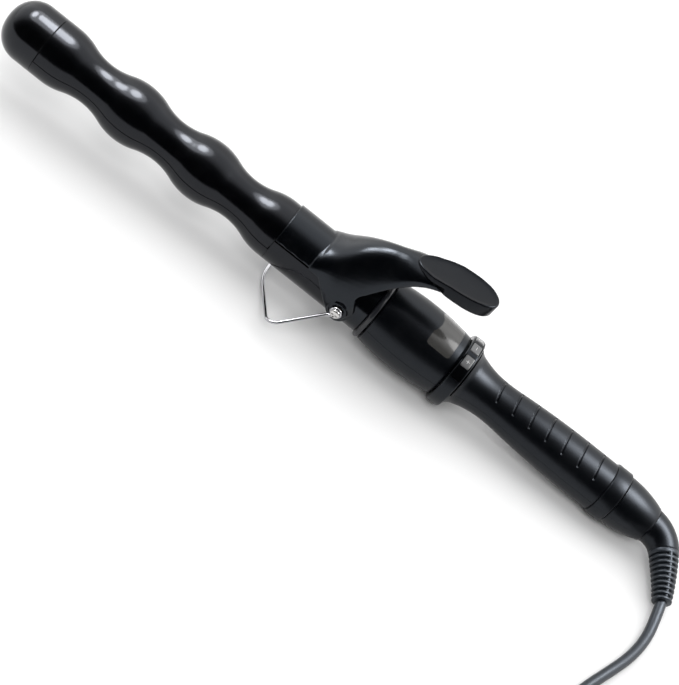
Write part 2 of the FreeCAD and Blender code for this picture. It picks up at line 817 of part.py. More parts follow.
node("circuit_board", less(
    "CircuitBoard",
    block("BoardBlank", (236.0, -13.0, 3.0), (34.0, 26.0, 1.6)),
    [rod("BoardHole%d" % side, (243.0, 9.5 * side, 0), "Z", 8.0, 3.0) for side in (-1, 1)]))
node("display_module", group("DisplayModule", [
    block("DisplayCarrier", (253.0, -9.0, 9.0), (15.0, 18.0, 1.2)),
    block("DisplayGlass", (254.0, -8.0, 10.25), (13.0, 16.0, 2.0)),
]))
node("display_pins", group("DisplayPins", [
    block("DisplayPin%d_%d" % (row, side), (255.0 + 3.4 * row, 8.2 * side - 0.3, 4.65), (0.6, 0.6, 4.3))
    for row in range(4) for side in (-1, 1)
]))
node("power_triac", group("PowerTriac", [block("TriacBody", (237.0, -5.0, 4.65), (4.5, 10.0, 9.0))]))
node("mains_capacitor", group("MainsCapacitor", [block("CapacitorBody", (246.5, -6.5, -6.0), (6.0, 13.0, 8.9))]))
node("control_chip", group("ControlChip", [block("ChipBody", (256.0, -3.5, 1.8), (7.0, 7.0, 1.15))]))

RING_BORE = 14.6
control_blank = turned("ControlBlank", [
    (dim.ring_start, RING_BORE),
    (dim.ring_start, dim.ring_r - dim.ring_round, -dim.ring_round),
    (dim.ring_start + dim.ring_round, dim.ring_r),
    (dim.ring_end - dim.ring_round, dim.ring_r, -dim.ring_round),
    (dim.ring_end, dim.ring_r - dim.ring_round),
    (dim.ring_end, RING_BORE),
])
BUTTON_FOOT = 16.3
BUTTON_TOP = 19.55
BUTTON_TRAVEL = 0.6
button_middle = (dim.ring_start + dim.ring_end) / 2


def button_block(name, clearance, foot, top):
    """A button's block, or the pocket around it, on the top side."""
    return block(name, (button_middle - dim.button_length / 2 - clearance, -(dim.button_width / 2 + clearance), foot),
                 (dim.button_length + clearance * 2, dim.button_width + clearance * 2, top - foot))


BUTTONS = [("button_power", -1), ("button_minus", 0), ("button_plus", 1)]
pockets = []
for label, place in BUTTONS:
    turn = number(dim.button_spread) * place
    pocket = button_block(label + "_pocket", dim.button_gap, 10.0, 24.0)
    pockets.append(about_axis(label + "_hole", pocket, turn))
    node(label, group(label + "_cap", [button_block(label + "_block", 0, BUTTON_FOOT, BUTTON_TOP)]), turn=turn)
node("control_ring", less("ControlRing", control_blank, pockets))
node("tact_switches", group("TactSwitches", [
    about_axis("TactSwitch%d" % place, block("TactBlock%d" % place, (button_middle - 1.8, -1.8, 13.6),
                                            (3.6, 3.6, BUTTON_FOOT - BUTTON_TRAVEL - 0.1 - 13.6)),
               number(dim.button_spread) * place)
    for place in (-1, 0, 1)
]))
node("switch_strip", turned("SwitchStrip", [
    (dim.ring_start + 0.6, 12.4),
    (dim.ring_start + 0.6, 13.2),
    (dim.ring_end - 0.6, 13.2),
    (dim.ring_end - 0.6, 12.4),
], 90.0))

# ---------------------------------------------------------------- handle shells, collar and cap

GRIP_WALL = 2.2
handle_outline = [
    (dim.handle_start, dim.flare_r - GRIP_WALL),
    (dim.handle_start, dim.flare_r, 7.5),
    (dim.flare_end, dim.flare_end_r, 49.0),
    (dim.grip_neck, dim.grip_neck_r, 100.0),
    (310.0, 11.75, -505.0),
    (dim.grip_crest, dim.grip_r),
    (dim.handle_end, dim.grip_r),
    (dim.handle_end, dim.grip_r - GRIP_WALL),
    (dim.grip_crest, dim.grip_r - GRIP_WALL),
    (310.0, 11.75 - GRIP_WALL),
    (dim.grip_neck, dim.grip_neck_r - GRIP_WALL),
    (dim.flare_end, dim.flare_end_r - GRIP_WALL),
]
grip_top = turned("GripTop", handle_outline, 180.0)
for place in range(7):
    middle = dim.groove_first + dim.groove_pitch * place
    depth_r = 10.5 + 0.33 * place
    groove(grip_top, "GripGroove%d" % place, [
        (middle - dim.groove_width / 2, 16.0),
        (middle - dim.groove_width / 2, depth_r),
        (middle + dim.groove_width / 2, depth_r),
        (middle + dim.groove_width / 2, 16.0),
    ], dim.groove_sweep)
grip_bottom = group("GripBottom", [turned("GripBottomShell", handle_outline, 180.0)])
grip_bottom.Placement = Placement(Vector(), Rotation(Vector(1, 0, 0), 180))
grip_screws = [boss_and_screw("GripScrew%d" % place, station, 0.0, wall_r)
               for place, (station, wall_r) in enumerate(((290.0, 11.0), (364.2, 12.2)))]
node("handle_upper", trimmed("HandleUpper", grip_top, [item[0] for item in grip_screws],
                             [item[1] for item in grip_screws], [], True))
node("handle_lower", trimmed("HandleLower", grip_bottom, [item[0] for item in grip_screws],
                             [item[1] for item in grip_screws], [item[2] for item in grip_screws], False))
node("shell_screws", group("ShellScrews", [item[1] for item in housing_screws + grip_screws]))

node("rear_collar", turned("RearCollar", [
    (dim.handle_end + 0.2, 11.4),
    (dim.handle_end + 0.2, dim.rear_collar_r - 0.7),
    (dim.handle_end + 0.9, dim.rear_collar_r),
    (dim.rear_collar_end - 0.7, dim.rear_collar_r),
    (dim.rear_collar_end, dim.rear_collar_r - 0.7),
    (dim.rear_collar_end, 11.4),
]))
CAP_START = 377.4
CAP_ARC = 58.0
FLANGE_STATION = 388.0
cap_outline = [
    (CAP_START, 9.0),
    (CAP_START, dim.grip_r - 0.05, -CAP_ARC),
    (dim.cap_end, dim.cap_end_r),
    (dim.cap_end, dim.swivel_stem_r + 0.1),
    (FLANGE_STATION + 2.7, dim.swivel_stem_r + 0.1),
    (FLANGE_STATION + 2.7, 7.3),
    (FLANGE_STATION - 0.2, 7.3),
    (FLANGE_STATION - 0.2, 9.0),
]
node("rear_cap_upper", turned("RearCapUpper", cap_outline, 180.0))
node("rear_cap_lower", turned("RearCapLower", cap_outline, 180.0), turn=180.0)
node("swivel_brush_holder", turned("BrushHolder", [
    (CAP_START + 0.5, 6.4),
    (CAP_START + 0.5, 8.95),
    (CAP_START + 8.5, 8.95),
    (CAP_START + 8.5, 6.4),
]))
node("mains_wires", group("MainsWires", [
    rod("MainsWire%d" % side, (272.0, 4.4 * side, 0), "X", 104.0, 0.9) for side in (-1, 1)
]))

# ---------------------------------------------------------------- swivel, strain relief

stem = turned("SwivelStem", [
    (CAP_START + 1.0, 1.6),
    (CAP_START + 1.0, 4.0),
    (FLANGE_STATION, 4.0),
    (FLANGE_STATION, 7.0),
    (FLANGE_STATION + 2.5, 7.0),
    (FLANGE_STATION + 2.5, dim.swivel_stem_r),
    (dim.cap_end + 0.3, dim.swivel_stem_r),
    (dim.cap_end + 0.3, 1.6),
])
elbow_start = number(dim.cap_end) + 0.25
turn = math.radians(number(dim.swivel_turn))
sideways = Vector(0, -math.sin(turn), -math.cos(turn))
bend_centre = Vector(elbow_start, 0, 0) + sideways * number(dim.elbow_bend_r)
bend = math.radians(number(dim.elbow_bend))


def elbow_point(angle):
    """Centre of the elbow's section after a part of its bend."""
    along = Vector(math.sin(angle), 0, 0) - sideways * math.cos(angle)
    return bend_centre + along * number(dim.elbow_bend_r)


def elbow_way(angle):
    return Vector(math.cos(angle), 0, 0) + sideways * math.sin(angle)


ELBOW_STEPS = 6
sections = []
for step in range(ELBOW_STEPS + 1):
    share = step / ELBOW_STEPS
    radius = number(dim.elbow_start_r) + (number(dim.elbow_end_r) - number(dim.elbow_start_r)) * share
    circle = Part.Circle(elbow_point(bend * share), elbow_way(bend * share), radius)
    sections.append(Part.Wire([circle.toShape()]))
elbow = doc.addObject("Part::Feature", "Elbow")
elbow.Shape = Part.makeLoft(sections, True, False)
node("swivel_elbow", fused("SwivelElbow", [elbow, stem]))
node("slip_rings", group("SlipRings", [
    turned("SlipRing%d" % place, [
        (CAP_START + start, 4.02),
        (CAP_START + start, 5.2),
        (CAP_START + start + 2.2, 5.2),
        (CAP_START + start + 2.2, 4.02),
    ])
    for place, start in enumerate((1.4, 5.4))
]))

relief_length = number(dim.relief_length)
relief_end_r = number(dim.relief_end_r)
relief_bend = math.radians(number(dim.relief_bend))
RIBS = 10


def relief_at(share):
    """Centre and direction of the strain relief after a share of its gently bent length."""
    angle = bend + relief_bend * share
    arc_r = relief_length / relief_bend
    along = Vector(math.sin(angle) - math.sin(bend), 0, 0)
    across = sideways * (math.cos(bend) - math.cos(angle))
    return elbow_point(bend) + (along + across) * arc_r, elbow_way(angle)


core_sections = []
ribs = []
for rib in range(RIBS + 1):
    point, way = relief_at(rib / RIBS)
    radius = number(dim.elbow_end_r) + (relief_end_r - number(dim.elbow_end_r)) * rib / RIBS
    core_sections.append(Part.Wire([Part.Circle(point, way, radius - 1.3).toShape()]))
    if rib < RIBS:
        start = rib / RIBS + (0 if rib == 0 else 0.45 / RIBS)
        point, way = relief_at(start)
        length = ((rib + 1) / RIBS - start) * relief_length
        ribs.append(Part.makeCylinder(radius - 0.12, length, point, way))
relief_core = Part.makeLoft(core_sections, True, False)
relief = doc.addObject("Part::Feature", "Relief")
relief.Shape = relief_core.fuse(ribs)
node("strain_relief", relief)

# ---------------------------------------------------------------- the iron as it rests on a table

wire_r = number(dim.wire_r)
apex = stand_point(0.0, reach)
ring_edge = Vector(number(dim.ring_end - dim.ring_round), 0, -number(dim.ring_r - dim.ring_round))
ring_round = number(dim.ring_round)
gap = ring_edge - apex
tilt = math.acos((ring_round - wire_r) / gap.Length) - math.atan2(gap.x, gap.z)
middle_station = number(dim.middle_station)
lift = wire_r + (apex.x - middle_station) * math.sin(tilt) - apex.z * math.cos(tilt)
tilt_rotation = Rotation(Vector(0, 1, 0), math.degrees(tilt))
REST = Placement(Vector(0, 0, lift), tilt_rotation).multiply(
    Placement(Vector(-middle_station, 0, 0), Rotation()))
for thing, turn_degrees, placed in nodes:
    if placed:
        thing.Placement = REST.multiply(Placement(Vector(), Rotation(Vector(1, 0, 0), turn_degrees)))

# ---------------------------------------------------------------- cord, coil and plug

cord_r = number(dim.cord_r)
relief_end, relief_end_way = relief_at(1.0)
cord_exit = REST.multVec(relief_end)
exit_way = REST.Rotation.multVec(relief_end_way)
CORD_MOUTH = 0.6
CORD_ROUTE = [
    cord_exit + exit_way * CORD_MOUTH,
    Vector(210.0, -43.7, 4.3),
    Vector(209.8, -56.5, 3.0),
    Vector(206.4, -71.0, 2.8),
    Vector(200.4, -85.5, 2.8),
    Vector(193.9, -100.2, 2.8),
    Vector(188.1, -116.0, 2.8),
    Vector(185.3, -131.5, 2.8),
    Vector(185.2, -146.0, 2.8),
]
COIL_MIDDLE = (221.8, -146.0)
TAIL_ROUTE = [
    Vector(247.7, -171.9, 14.0),
    Vector(258.2, -161.6, 10.5),
    Vector(266.4, -149.6, 6.85),
    Vector(271.4, -136.2, 6.85),
]


def tube(name, points, radius):
    """A cord's tube: runs joined by arcs of 0.45 of the shorter run over the tangent of half the turn."""
    radii = []
    for index in range(1, len(points) - 1):
        before = points[index] - points[index - 1]
        after = points[index + 1] - points[index]
        turn_angle = before.getAngle(after)
        radii.append(0.45 * min(before.Length, after.Length) / math.tan(turn_angle / 2))
    print(name, "radii", " ".join("%.0f" % value for value in radii))
    path = rounded_path(points, radii)
    thing = doc.addObject("Part::Feature", name)
    thing.Shape = swept(path, radius)
    print("%s length %.1f, volume share %.4f" % (
        name, path.Length, thing.Shape.Volume / (path.Length * math.pi * radius * radius)))
    return thing


node("cord_run", tube("CordRun", CORD_ROUTE, cord_r), placed=False)

COIL_LAYERS = 3
TIE_HALF = 4.0
coil_x, coil_y = COIL_MIDDLE
coil_out = dim.coil_r + dim.cord_r * COIL_LAYERS
coil_in = dim.coil_r - dim.cord_r * COIL_LAYERS
coil_ring = rod("CoilRing", (coil_x, coil_y, 0), "Z", dim.coil_height, coil_out)
coil_eye = rod("CoilEye", (coil_x, coil_y, -1), "Z", dim.coil_height + 2, coil_in)
node("cord_coil", less("CordCoil", coil_ring, [coil_eye]), placed=False)
tie_depth = coil_out - coil_in
tie_inner = block("TieInner", (coil_x - TIE_HALF - 1, coil_in + coil_y - 0.5, -0.5),
                  (2 * TIE_HALF + 2, tie_depth + 0.55, dim.coil_height + 0.52))
tie_outer = block("TieOuter", (coil_x - TIE_HALF, coil_in + coil_y - 1.3, 0),
                  (2 * TIE_HALF, tie_depth + 2.2, dim.coil_height + 0.9))
node("cord_tie", less("CordTie", tie_outer, [tie_inner]), placed=False)
node("cord_tail", tube("CordTail", TAIL_ROUTE, cord_r), placed=False)

PLUG_HALF_HEIGHT = 6.85
plug_way = (TAIL_ROUTE[-1] - TAIL_ROUTE[-2]).normalize()
plug_place = Placement(TAIL_ROUTE[-1], Rotation(Vector(0, 0, 1), math.degrees(math.atan2(plug_way.y, plug_way.x))))
plug_plan = slab("PlugPlan", [
    (0, -4.5),
    (10.0, -7.0, 30.0),
    (21.0, -17.0),
    (33.0, -17.65),
    (35.0, -16.6),
    (35.0, 16.6),
    (33.0, 17.65),
    (21.0, 17.0, 30.0),
    (10.0, 7.0),
    (0, 4.5),
], 2 * PLUG_HALF_HEIGHT, role="XY_Plane")
plug_side = slab("PlugSide", [
    (0, -4.0),
    (12.0, -PLUG_HALF_HEIGHT),
    (35.0, -PLUG_HALF_HEIGHT),
    (35.0, PLUG_HALF_HEIGHT),
    (12.0, PLUG_HALF_HEIGHT),
    (0, 4.0),
], 36.0)
PIN_START = 35.3
pins = [
    fused("Pin%d" % side, [
        rod("PinRoot%d" % side, (28.0, dim.pin_spacing / 2 * side, 0), "X", PIN_START - 27.0, 1.4),
        rod("PinShaft%d" % side, (PIN_START, dim.pin_spacing / 2 * side, 0), "X", dim.pin_length, dim.pin_r),
    ])
    for side in (-1, 1)
]
plug_body = node("plug_body", less("PlugBody", common("PlugBlank", [plug_plan, plug_side]), pins), placed=False)
plug_pins = node("plug_pins", group("PlugPins", pins), placed=False)
for thing in (plug_body, plug_pins):
    thing.Placement = plug_place
print("plug at %s way %s" % (tuple(plug_place.Base), tuple(plug_way)))

doc.recompute()
for thing in doc.Objects:
    if "Invalid" in thing.State or "Error" in thing.State:
        raise RuntimeError("%s is %s" % (thing.Name, thing.State))
os.makedirs("parts", exist_ok=True)
for thing, turn_degrees, placed in nodes:
    shape = thing.Shape
    if shape.isNull() or not shape.isValid():
        raise RuntimeError(thing.Label + " has no valid shape")
    shape.exportStep("parts/%s.step" % thing.Label)
    print("%-22s %9.1f mm3  %d solid(s)" % (thing.Label, shape.Volume, len(shape.Solids)))
print("tilt %.3f lift %.3f exit %s" % (math.degrees(tilt), lift, tuple(round(v, 2) for v in cord_exit)))
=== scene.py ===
"""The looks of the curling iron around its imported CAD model.

Shapes on the iron are drawn in millimetres in the iron's own frame, X from the tip along its axis, and are
then tilted as the iron rests on its wire stand and control ring. The cord and plug are drawn in millimetres
in the frame of the table.
"""

import math

import bmesh
import bpy
from mathutils import Matrix, Vector


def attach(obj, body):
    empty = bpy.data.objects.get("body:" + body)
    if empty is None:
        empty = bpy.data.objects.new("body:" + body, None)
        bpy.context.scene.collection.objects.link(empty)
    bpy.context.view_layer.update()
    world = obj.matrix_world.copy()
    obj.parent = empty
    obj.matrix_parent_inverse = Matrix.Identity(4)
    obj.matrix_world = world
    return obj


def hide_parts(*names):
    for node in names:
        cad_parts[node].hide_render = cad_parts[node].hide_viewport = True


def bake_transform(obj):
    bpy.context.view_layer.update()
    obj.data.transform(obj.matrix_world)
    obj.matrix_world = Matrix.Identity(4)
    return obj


MM = 0.001
TILT = math.radians(2.964)
LIFT = 22.818
MIDDLE = 213.56
LEVER_OPEN = math.radians(16.0)
PIVOT = 211.3
COLLAR_R = 15.9
IRON = (Matrix.Scale(MM, 4) @ Matrix.Translation((0, 0, LIFT)) @ Matrix.Rotation(TILT, 4, "Y")
        @ Matrix.Translation((-MIDDLE, 0, 0)))
TABLE = Matrix.Scale(MM, 4)

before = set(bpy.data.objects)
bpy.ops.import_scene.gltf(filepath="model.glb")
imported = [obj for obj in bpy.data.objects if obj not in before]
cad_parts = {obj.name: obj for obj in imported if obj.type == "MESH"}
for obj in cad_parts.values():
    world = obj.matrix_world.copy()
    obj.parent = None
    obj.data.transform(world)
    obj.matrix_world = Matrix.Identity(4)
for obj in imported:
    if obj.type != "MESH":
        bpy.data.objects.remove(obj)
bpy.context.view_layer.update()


# ---------------------------------------------------------------- camera

CAMERA_AIM = Vector((222.7, 0, 0))
CAMERA_RISE, CAMERA_DISTANCE = -24.7, 1080.0
SENSOR = 36.0
FOCAL_SHARE = 2214.0 / 685.0


def place_camera():
    """44 degrees above the iron's near side, 1.08 m away, rolled so that it lies along the diagonal."""
    tilt, above = math.radians(4.0), math.radians(44.0)
    look = Vector((math.sin(tilt), math.cos(tilt) * math.cos(above), -math.cos(tilt) * math.sin(above)))
    along = Vector((1, 0, 0))
    along = (along - look * along.dot(look)).normalized()
    upward = along.cross(look)
    if upward.z < 0:
        upward = -upward
    roll_cos, roll_sin = 0.7826, 0.6225
    right = along * roll_cos + upward * roll_sin
    top = upward * roll_cos - along * roll_sin
    spot = CAMERA_AIM + upward * CAMERA_RISE - look * CAMERA_DISTANCE
    turn = IRON.to_3x3() * (1 / MM)
    right, top, back = turn @ right, turn @ top, turn @ -look
    data = bpy.data.cameras.new("view")
    data.sensor_width = SENSOR
    data.lens = SENSOR * FOCAL_SHARE
    data.clip_start, data.clip_end = 0.05, 20.0
    camera = bpy.data.objects.new("view", data)
    axes = Matrix((right, top, back)).transposed().to_4x4()
    camera.matrix_world = Matrix.Translation(IRON @ spot) @ axes
    bpy.context.scene.collection.objects.link(camera)
    bpy.context.scene.camera = camera


place_camera()


# ---------------------------------------------------------------- materials

def shader_of(material):
    return material.node_tree.nodes["Principled BSDF"]


def surface(name, color, roughness, metallic=0.0, coat=0.0, speckle=0.0, grain=0.0, grain_scale=400.0,
            wear=0.0, specular=0.5, tint=(1.0, 1.0, 1.0)):
    """A material with uneven roughness, a fine moulded or polished grain and faint wear."""
    material = bpy.data.materials.new(name)
    material.use_nodes = True
    nodes, links = material.node_tree.nodes, material.node_tree.links
    shader = shader_of(material)
    shader.inputs["Base Color"].default_value = (*color, 1)
    shader.inputs["Roughness"].default_value = roughness
    shader.inputs["Metallic"].default_value = metallic
    shader.inputs["Specular IOR Level"].default_value = specular
    shader.inputs["Specular Tint"].default_value = (*tint, 1)
    shader.inputs["Coat Weight"].default_value = coat
    shader.inputs["Coat Roughness"].default_value = 0.04
    place = nodes.new("ShaderNodeTexCoord")
    if speckle:
        noise = nodes.new("ShaderNodeTexNoise")
        noise.inputs["Scale"].default_value = 60.0
        noise.inputs["Detail"].default_value = 6.0
        limits = nodes.new("ShaderNodeMapRange")
        limits.inputs["To Min"].default_value = max(roughness - speckle, 0.02)
        limits.inputs["To Max"].default_value = roughness + speckle
        links.new(place.outputs["Object"], noise.inputs["Vector"])
        links.new(noise.outputs["Fac"], limits.inputs["Value"])
        links.new(limits.outputs["Result"], shader.inputs["Roughness"])
    if grain:
        fine = nodes.new("ShaderNodeTexNoise")
        fine.inputs["Scale"].default_value = grain_scale
        fine.inputs["Detail"].default_value = 3.0
        bump = nodes.new("ShaderNodeBump")
        bump.inputs["Strength"].default_value = grain
        bump.inputs["Distance"].default_value = 0.0002
        links.new(place.outputs["Object"], fine.inputs["Vector"])
        links.new(fine.outputs["Fac"], bump.inputs["Height"])
        links.new(bump.outputs["Normal"], shader.inputs["Normal"])
    if wear:
        patches = nodes.new("ShaderNodeTexNoise")
        patches.inputs["Scale"].default_value = 130.0
        patches.inputs["Detail"].default_value = 8.0
        ramp = nodes.new("ShaderNodeValToRGB")
        ramp.color_ramp.elements[0].position = 0.45
        ramp.color_ramp.elements[1].position = 0.8
        ramp.color_ramp.elements[0].color = (*color, 1)
        ramp.color_ramp.elements[1].color = (*[min(c + wear, 1.0) for c in color], 1)
        links.new(place.outputs["Object"], patches.inputs["Vector"])
        links.new(patches.outputs["Fac"], ramp.inputs["Fac"])
        links.new(ramp.outputs["Color"], shader.inputs["Base Color"])
    return material


COOL = (0.80, 0.88, 1.0)
BARREL_COOL = (0.86, 0.90, 1.0)
ENAMEL = surface("gloss_enamel", (0.0006, 0.0007, 0.0011), 0.16, speckle=0.035, grain=0.012,
                 grain_scale=900.0, wear=0.0012, specular=0.30, tint=BARREL_COOL)
GLOSS = surface("gloss_moulding", (0.0008, 0.0010, 0.0015), 0.16, speckle=0.03, grain=0.02, grain_scale=700.0,
                wear=0.002, specular=0.34, tint=COOL)
GLOSS_TIP = surface("tip_gloss", (0.0008, 0.0009, 0.0012), 0.15, speckle=0.02, grain=0.015, grain_scale=800.0,
                    wear=0.002, specular=0.34, tint=BARREL_COOL)
ARM = surface("arm_gloss", (0.0008, 0.0011, 0.0017), 0.20, speckle=0.03, grain=0.03, grain_scale=900.0,
              wear=0.002, specular=0.36, tint=COOL)
SATIN = surface("satin_moulding", (0.0009, 0.0011, 0.0018), 0.32, speckle=0.05, grain=0.08,
                grain_scale=1500.0, wear=0.002, specular=0.30, tint=COOL)
PADDLE = surface("paddle_satin", (0.0012, 0.0013, 0.0020), 0.26, speckle=0.05, grain=0.06, grain_scale=1300.0,
                 wear=0.002, specular=0.18, tint=COOL)
BEZEL = surface("bezel_gloss", (0.0010, 0.0011, 0.0014), 0.12, speckle=0.02, specular=0.3, tint=COOL)
# The flange's own dark tone, lightened as a painted highlight along its rim.
SEAL_PAINTED_HIGHLIGHT = surface("flange_rubber_painted_highlight", (0.012, 0.013, 0.016), 0.30, speckle=0.05, grain=0.05, grain_scale=900.0,
               wear=0.004)
BUTTON = surface("button_smoke", (0.10, 0.102, 0.105), 0.22, speckle=0.04, coat=0.4)
MARK = surface("pale_print", (0.62, 0.62, 0.62), 0.5, speckle=0.05)
# The smoked lens's own dark tone, lightened to grey as a painted reflection.
LENS_PAINTED_REFLECTION = surface("smoked_lens_painted_reflection", (0.045, 0.044, 0.042), 0.16, speckle=0.03, coat=0.2)
# Chrome's reflectance darkened as painted shade, standing in for dark surroundings in its reflections.
CHROME_PAINTED_SHADE = surface("chrome_painted_shade", (0.46, 0.46, 0.48), 0.08, metallic=1.0, speckle=0.03, grain=0.02,
                 grain_scale=600.0)
STEEL = surface("plated_steel", (0.62, 0.61, 0.60), 0.22, metallic=1.0, speckle=0.06, grain=0.05,
                grain_scale=500.0)
BRASS = surface("turned_brass", (0.72, 0.52, 0.24), 0.28, metallic=1.0, speckle=0.08, grain=0.05)
ALUMINIUM = surface("cast_aluminium", (0.72, 0.72, 0.73), 0.38, metallic=1.0, speckle=0.08, grain=0.08)
CERAMIC = surface("fired_ceramic", (0.80, 0.78, 0.72), 0.55, speckle=0.08, grain=0.06, wear=0.03)
INSULATOR = surface("mica_board", (0.52, 0.42, 0.27), 0.6, speckle=0.08, grain=0.08, wear=0.06)
BOARD = surface("green_board", (0.02, 0.13, 0.05), 0.35, speckle=0.06, grain=0.04, wear=0.03)
CHIP = surface("moulded_chip", (0.02, 0.02, 0.021), 0.45, speckle=0.06, grain=0.06, wear=0.01)
SLEEVE = surface("silicone_wire", (0.33, 0.03, 0.02), 0.42, speckle=0.06, grain=0.05, wear=0.04)
RUBBER = surface("cord_rubber", (0.008, 0.010, 0.013), 0.42, speckle=0.06, grain=0.10, grain_scale=1100.0,
                 wear=0.006, tint=COOL)

NODE_LOOKS = {
    ALUMINIUM: ["heater_block_upper", "heater_block_lower"],
    CERAMIC: ["ceramic_heater", "thermistor"],
    STEEL: ["heat_spring_rings", "thermal_fuse", "display_pins", "shell_screws", "clip_screws",
            "paddle_screw", "lever_spring"],
    SLEEVE: ["heater_wires", "mains_wires"],
    INSULATOR: ["heat_barrier", "swivel_brush_holder"],
    BOARD: ["circuit_board", "switch_strip"],
    CHIP: ["display_module", "power_triac", "mains_capacitor", "control_chip", "tact_switches"],
    BRASS: ["pivot_bushes", "slip_rings"],
}
for look, names in NODE_LOOKS.items():
    for name in names:
        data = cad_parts[name].data
        data.materials.clear()
        data.materials.append(look)


# ---------------------------------------------------------------- drawing tools

def finish_piece(name, bm, material, body, stands_for=(), matrix=IRON, bevel=0.0, angle=38.0):
    """Turn a bmesh drawn in millimetres into a piece that rides on a body."""
    bmesh.ops.remove_doubles(bm, verts=bm.verts, dist=1e-5)
    bmesh.ops.recalc_face_normals(bm, faces=bm.faces)
    bm.transform(matrix)
    data = bpy.data.meshes.new(name)
    bm.to_mesh(data)
    bm.free()
    data.materials.append(material)
    data.shade_smooth()
    thing = bpy.data.objects.new(name, data)
    bpy.context.scene.collection.objects.link(thing)
    if bevel:
        edge = thing.modifiers.new("edges", "BEVEL")
        edge.width = bevel * MM
        edge.segments = 2
        edge.limit_method = "ANGLE"
        edge.angle_limit = math.radians(angle)
        edge.harden_normals = True
    else:
        data.set_sharp_from_angle(angle=math.radians(angle))
    if body:
        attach(thing, body)
    if stands_for:
        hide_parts(*stands_for)
    return thing


def around(station, radius, degrees):
    """Point at a station and radius, an angle from the top towards -Y."""
    turn = math.radians(degrees)
    return Vector((station, -radius * math.sin(turn), radius * math.cos(turn)))


def lathe(bm, outline, start=0.0, sweep=360.0, steps=96):
    """Turn a closed outline of (station, radius) about the iron's axis, capped where it isn't a full turn."""
    whole = sweep >= 360.0
    count = steps if whole else steps + 1
    rings = [[bm.verts.new(around(s, r, start + sweep * step / steps)) for s, r in outline]
             for step in range(count)]
    size = len(outline)
    for step in range(steps):
        ring, following = rings[step], rings[(step + 1) % count]
        for index in range(size):
            after = (index + 1) % size
            if outline[index][1] < 1e-6 and outline[after][1] < 1e-6:
                continue
            bm.faces.new([ring[index], ring[after], following[after], following[index]])
    if not whole:
        bm.faces.new(rings[0])
        bm.faces.new(rings[-1][::-1])


def arc(start, end, radius, steps=12):
    """Points on the minor arc from start up to end; a positive radius has its centre on the left."""
    (x0, y0), (x1, y1) = start, end
    chord = math.hypot(x1 - x0, y1 - y0)
    reach = math.sqrt(max(radius * radius - chord * chord / 4, 0.0)) * math.copysign(1.0, radius)
    cx = (x0 + x1) / 2 - (y1 - y0) / chord * reach
    cy = (y0 + y1) / 2 + (x1 - x0) / chord * reach
    first = math.atan2(y0 - cy, x0 - cx)
    turn = math.atan2(y1 - cy, x1 - cx) - first
    turn = (turn + math.pi) % (2 * math.pi) - math.pi
    size = abs(radius)
    return [(cx + size * math.cos(first + turn * k / steps), cy + size * math.sin(first + turn * k / steps))
            for k in range(steps)]


def span(first, last, step):
    """Evenly spaced values from first to last, both included."""
    count = max(2, round(abs(last - first) / step) + 1)
    return [first + (last - first) * k / (count - 1) for k in range(count)]


def bridge(bm, rings, closed=False):
    """Faces from each ring of corners to the next; the two ends are capped, or joined where it is closed."""
    for ring, following in zip(rings, rings[1:] + rings[:1] if closed else rings[1:]):
        for k in range(len(ring)):
            after = (k + 1) % len(ring)
            bm.faces.new([ring[k], ring[after], following[after], following[k]])
    if not closed:
        bm.faces.new(rings[0][::-1])
        bm.faces.new(rings[-1])


def tube(bm, path, radius, sides=20, closed=False):
    """A round bar along points; radius is one number or one for each point."""
    count = len(path)
    radii = radius if isinstance(radius, (list, tuple)) else [radius] * count
    normal = None
    rings = []
    for index, point in enumerate(path):
        back = path[index - 1] if closed or index > 0 else point
        ahead = path[(index + 1) % count] if closed or index < count - 1 else point
        way = (ahead - back).normalized()
        if normal is None:
            normal = way.orthogonal().normalized()
        normal = (normal - way * normal.dot(way)).normalized()
        side = way.cross(normal)
        rings.append([bm.verts.new(point + (normal * math.cos(2 * math.pi * k / sides)
                                            + side * math.sin(2 * math.pi * k / sides)) * radii[index])
                      for k in range(sides)])
    bridge(bm, rings, closed)


# ---------------------------------------------------------------- the cord, first of all

CORD_R = 2.8
CORD_ROUTE = [
    (208.33, -30.00, 6.76), (210.0, -43.7, 4.3), (209.8, -56.5, 3.0),
    (206.4, -71.0, 2.8), (200.4, -85.5, 2.8), (193.9, -100.2, 2.8),
    (188.1, -116.0, 2.8), (185.3, -131.5, 2.8), (185.2, -146.0, 2.8),
]
COIL = Vector((221.8, -146.0, 0.0))
TAIL_ROUTE = [(247.7, -171.9, 14.0), (258.2, -161.6, 10.5), (266.4, -149.6, 6.85), (271.4, -136.2, 6.85)]
# Radius and height of each turn: three layers of three.
LAYERS = [(36.6, 2.8), (31.0, 2.8), (25.4, 2.8), (25.4, 8.4), (31.0, 8.4), (36.6, 8.4),
          (25.4, 14.0), (31.0, 14.0), (36.6, 14.0)]
TURN_POINTS = 16
LAST_STEPS = 6


def coil_points():
    """The cord's turns, counter-clockwise from the coil's left side, layer after layer."""
    points = []
    for step in range(1, TURN_POINTS * (len(LAYERS) - 1) + LAST_STEPS):
        layer, share = step // TURN_POINTS, step % TURN_POINTS / TURN_POINTS
        here, ahead = LAYERS[layer], LAYERS[min(layer + 1, len(LAYERS) - 1)]
        climb = min(max((share - 0.45) / 0.3, 0.0), 1.0)
        across = min(max((share - 0.6) / 0.4, 0.0), 1.0)
        climb, across = [value * value * (3 - 2 * value) for value in (climb, across)]
        radius = here[0] + (ahead[0] - here[0]) * across
        height = here[1] + (ahead[1] - here[1]) * climb
        angle = math.pi + 2 * math.pi * step / TURN_POINTS
        points.append((COIL.x + radius * math.cos(angle), COIL.y + radius * math.sin(angle), height))
    return points


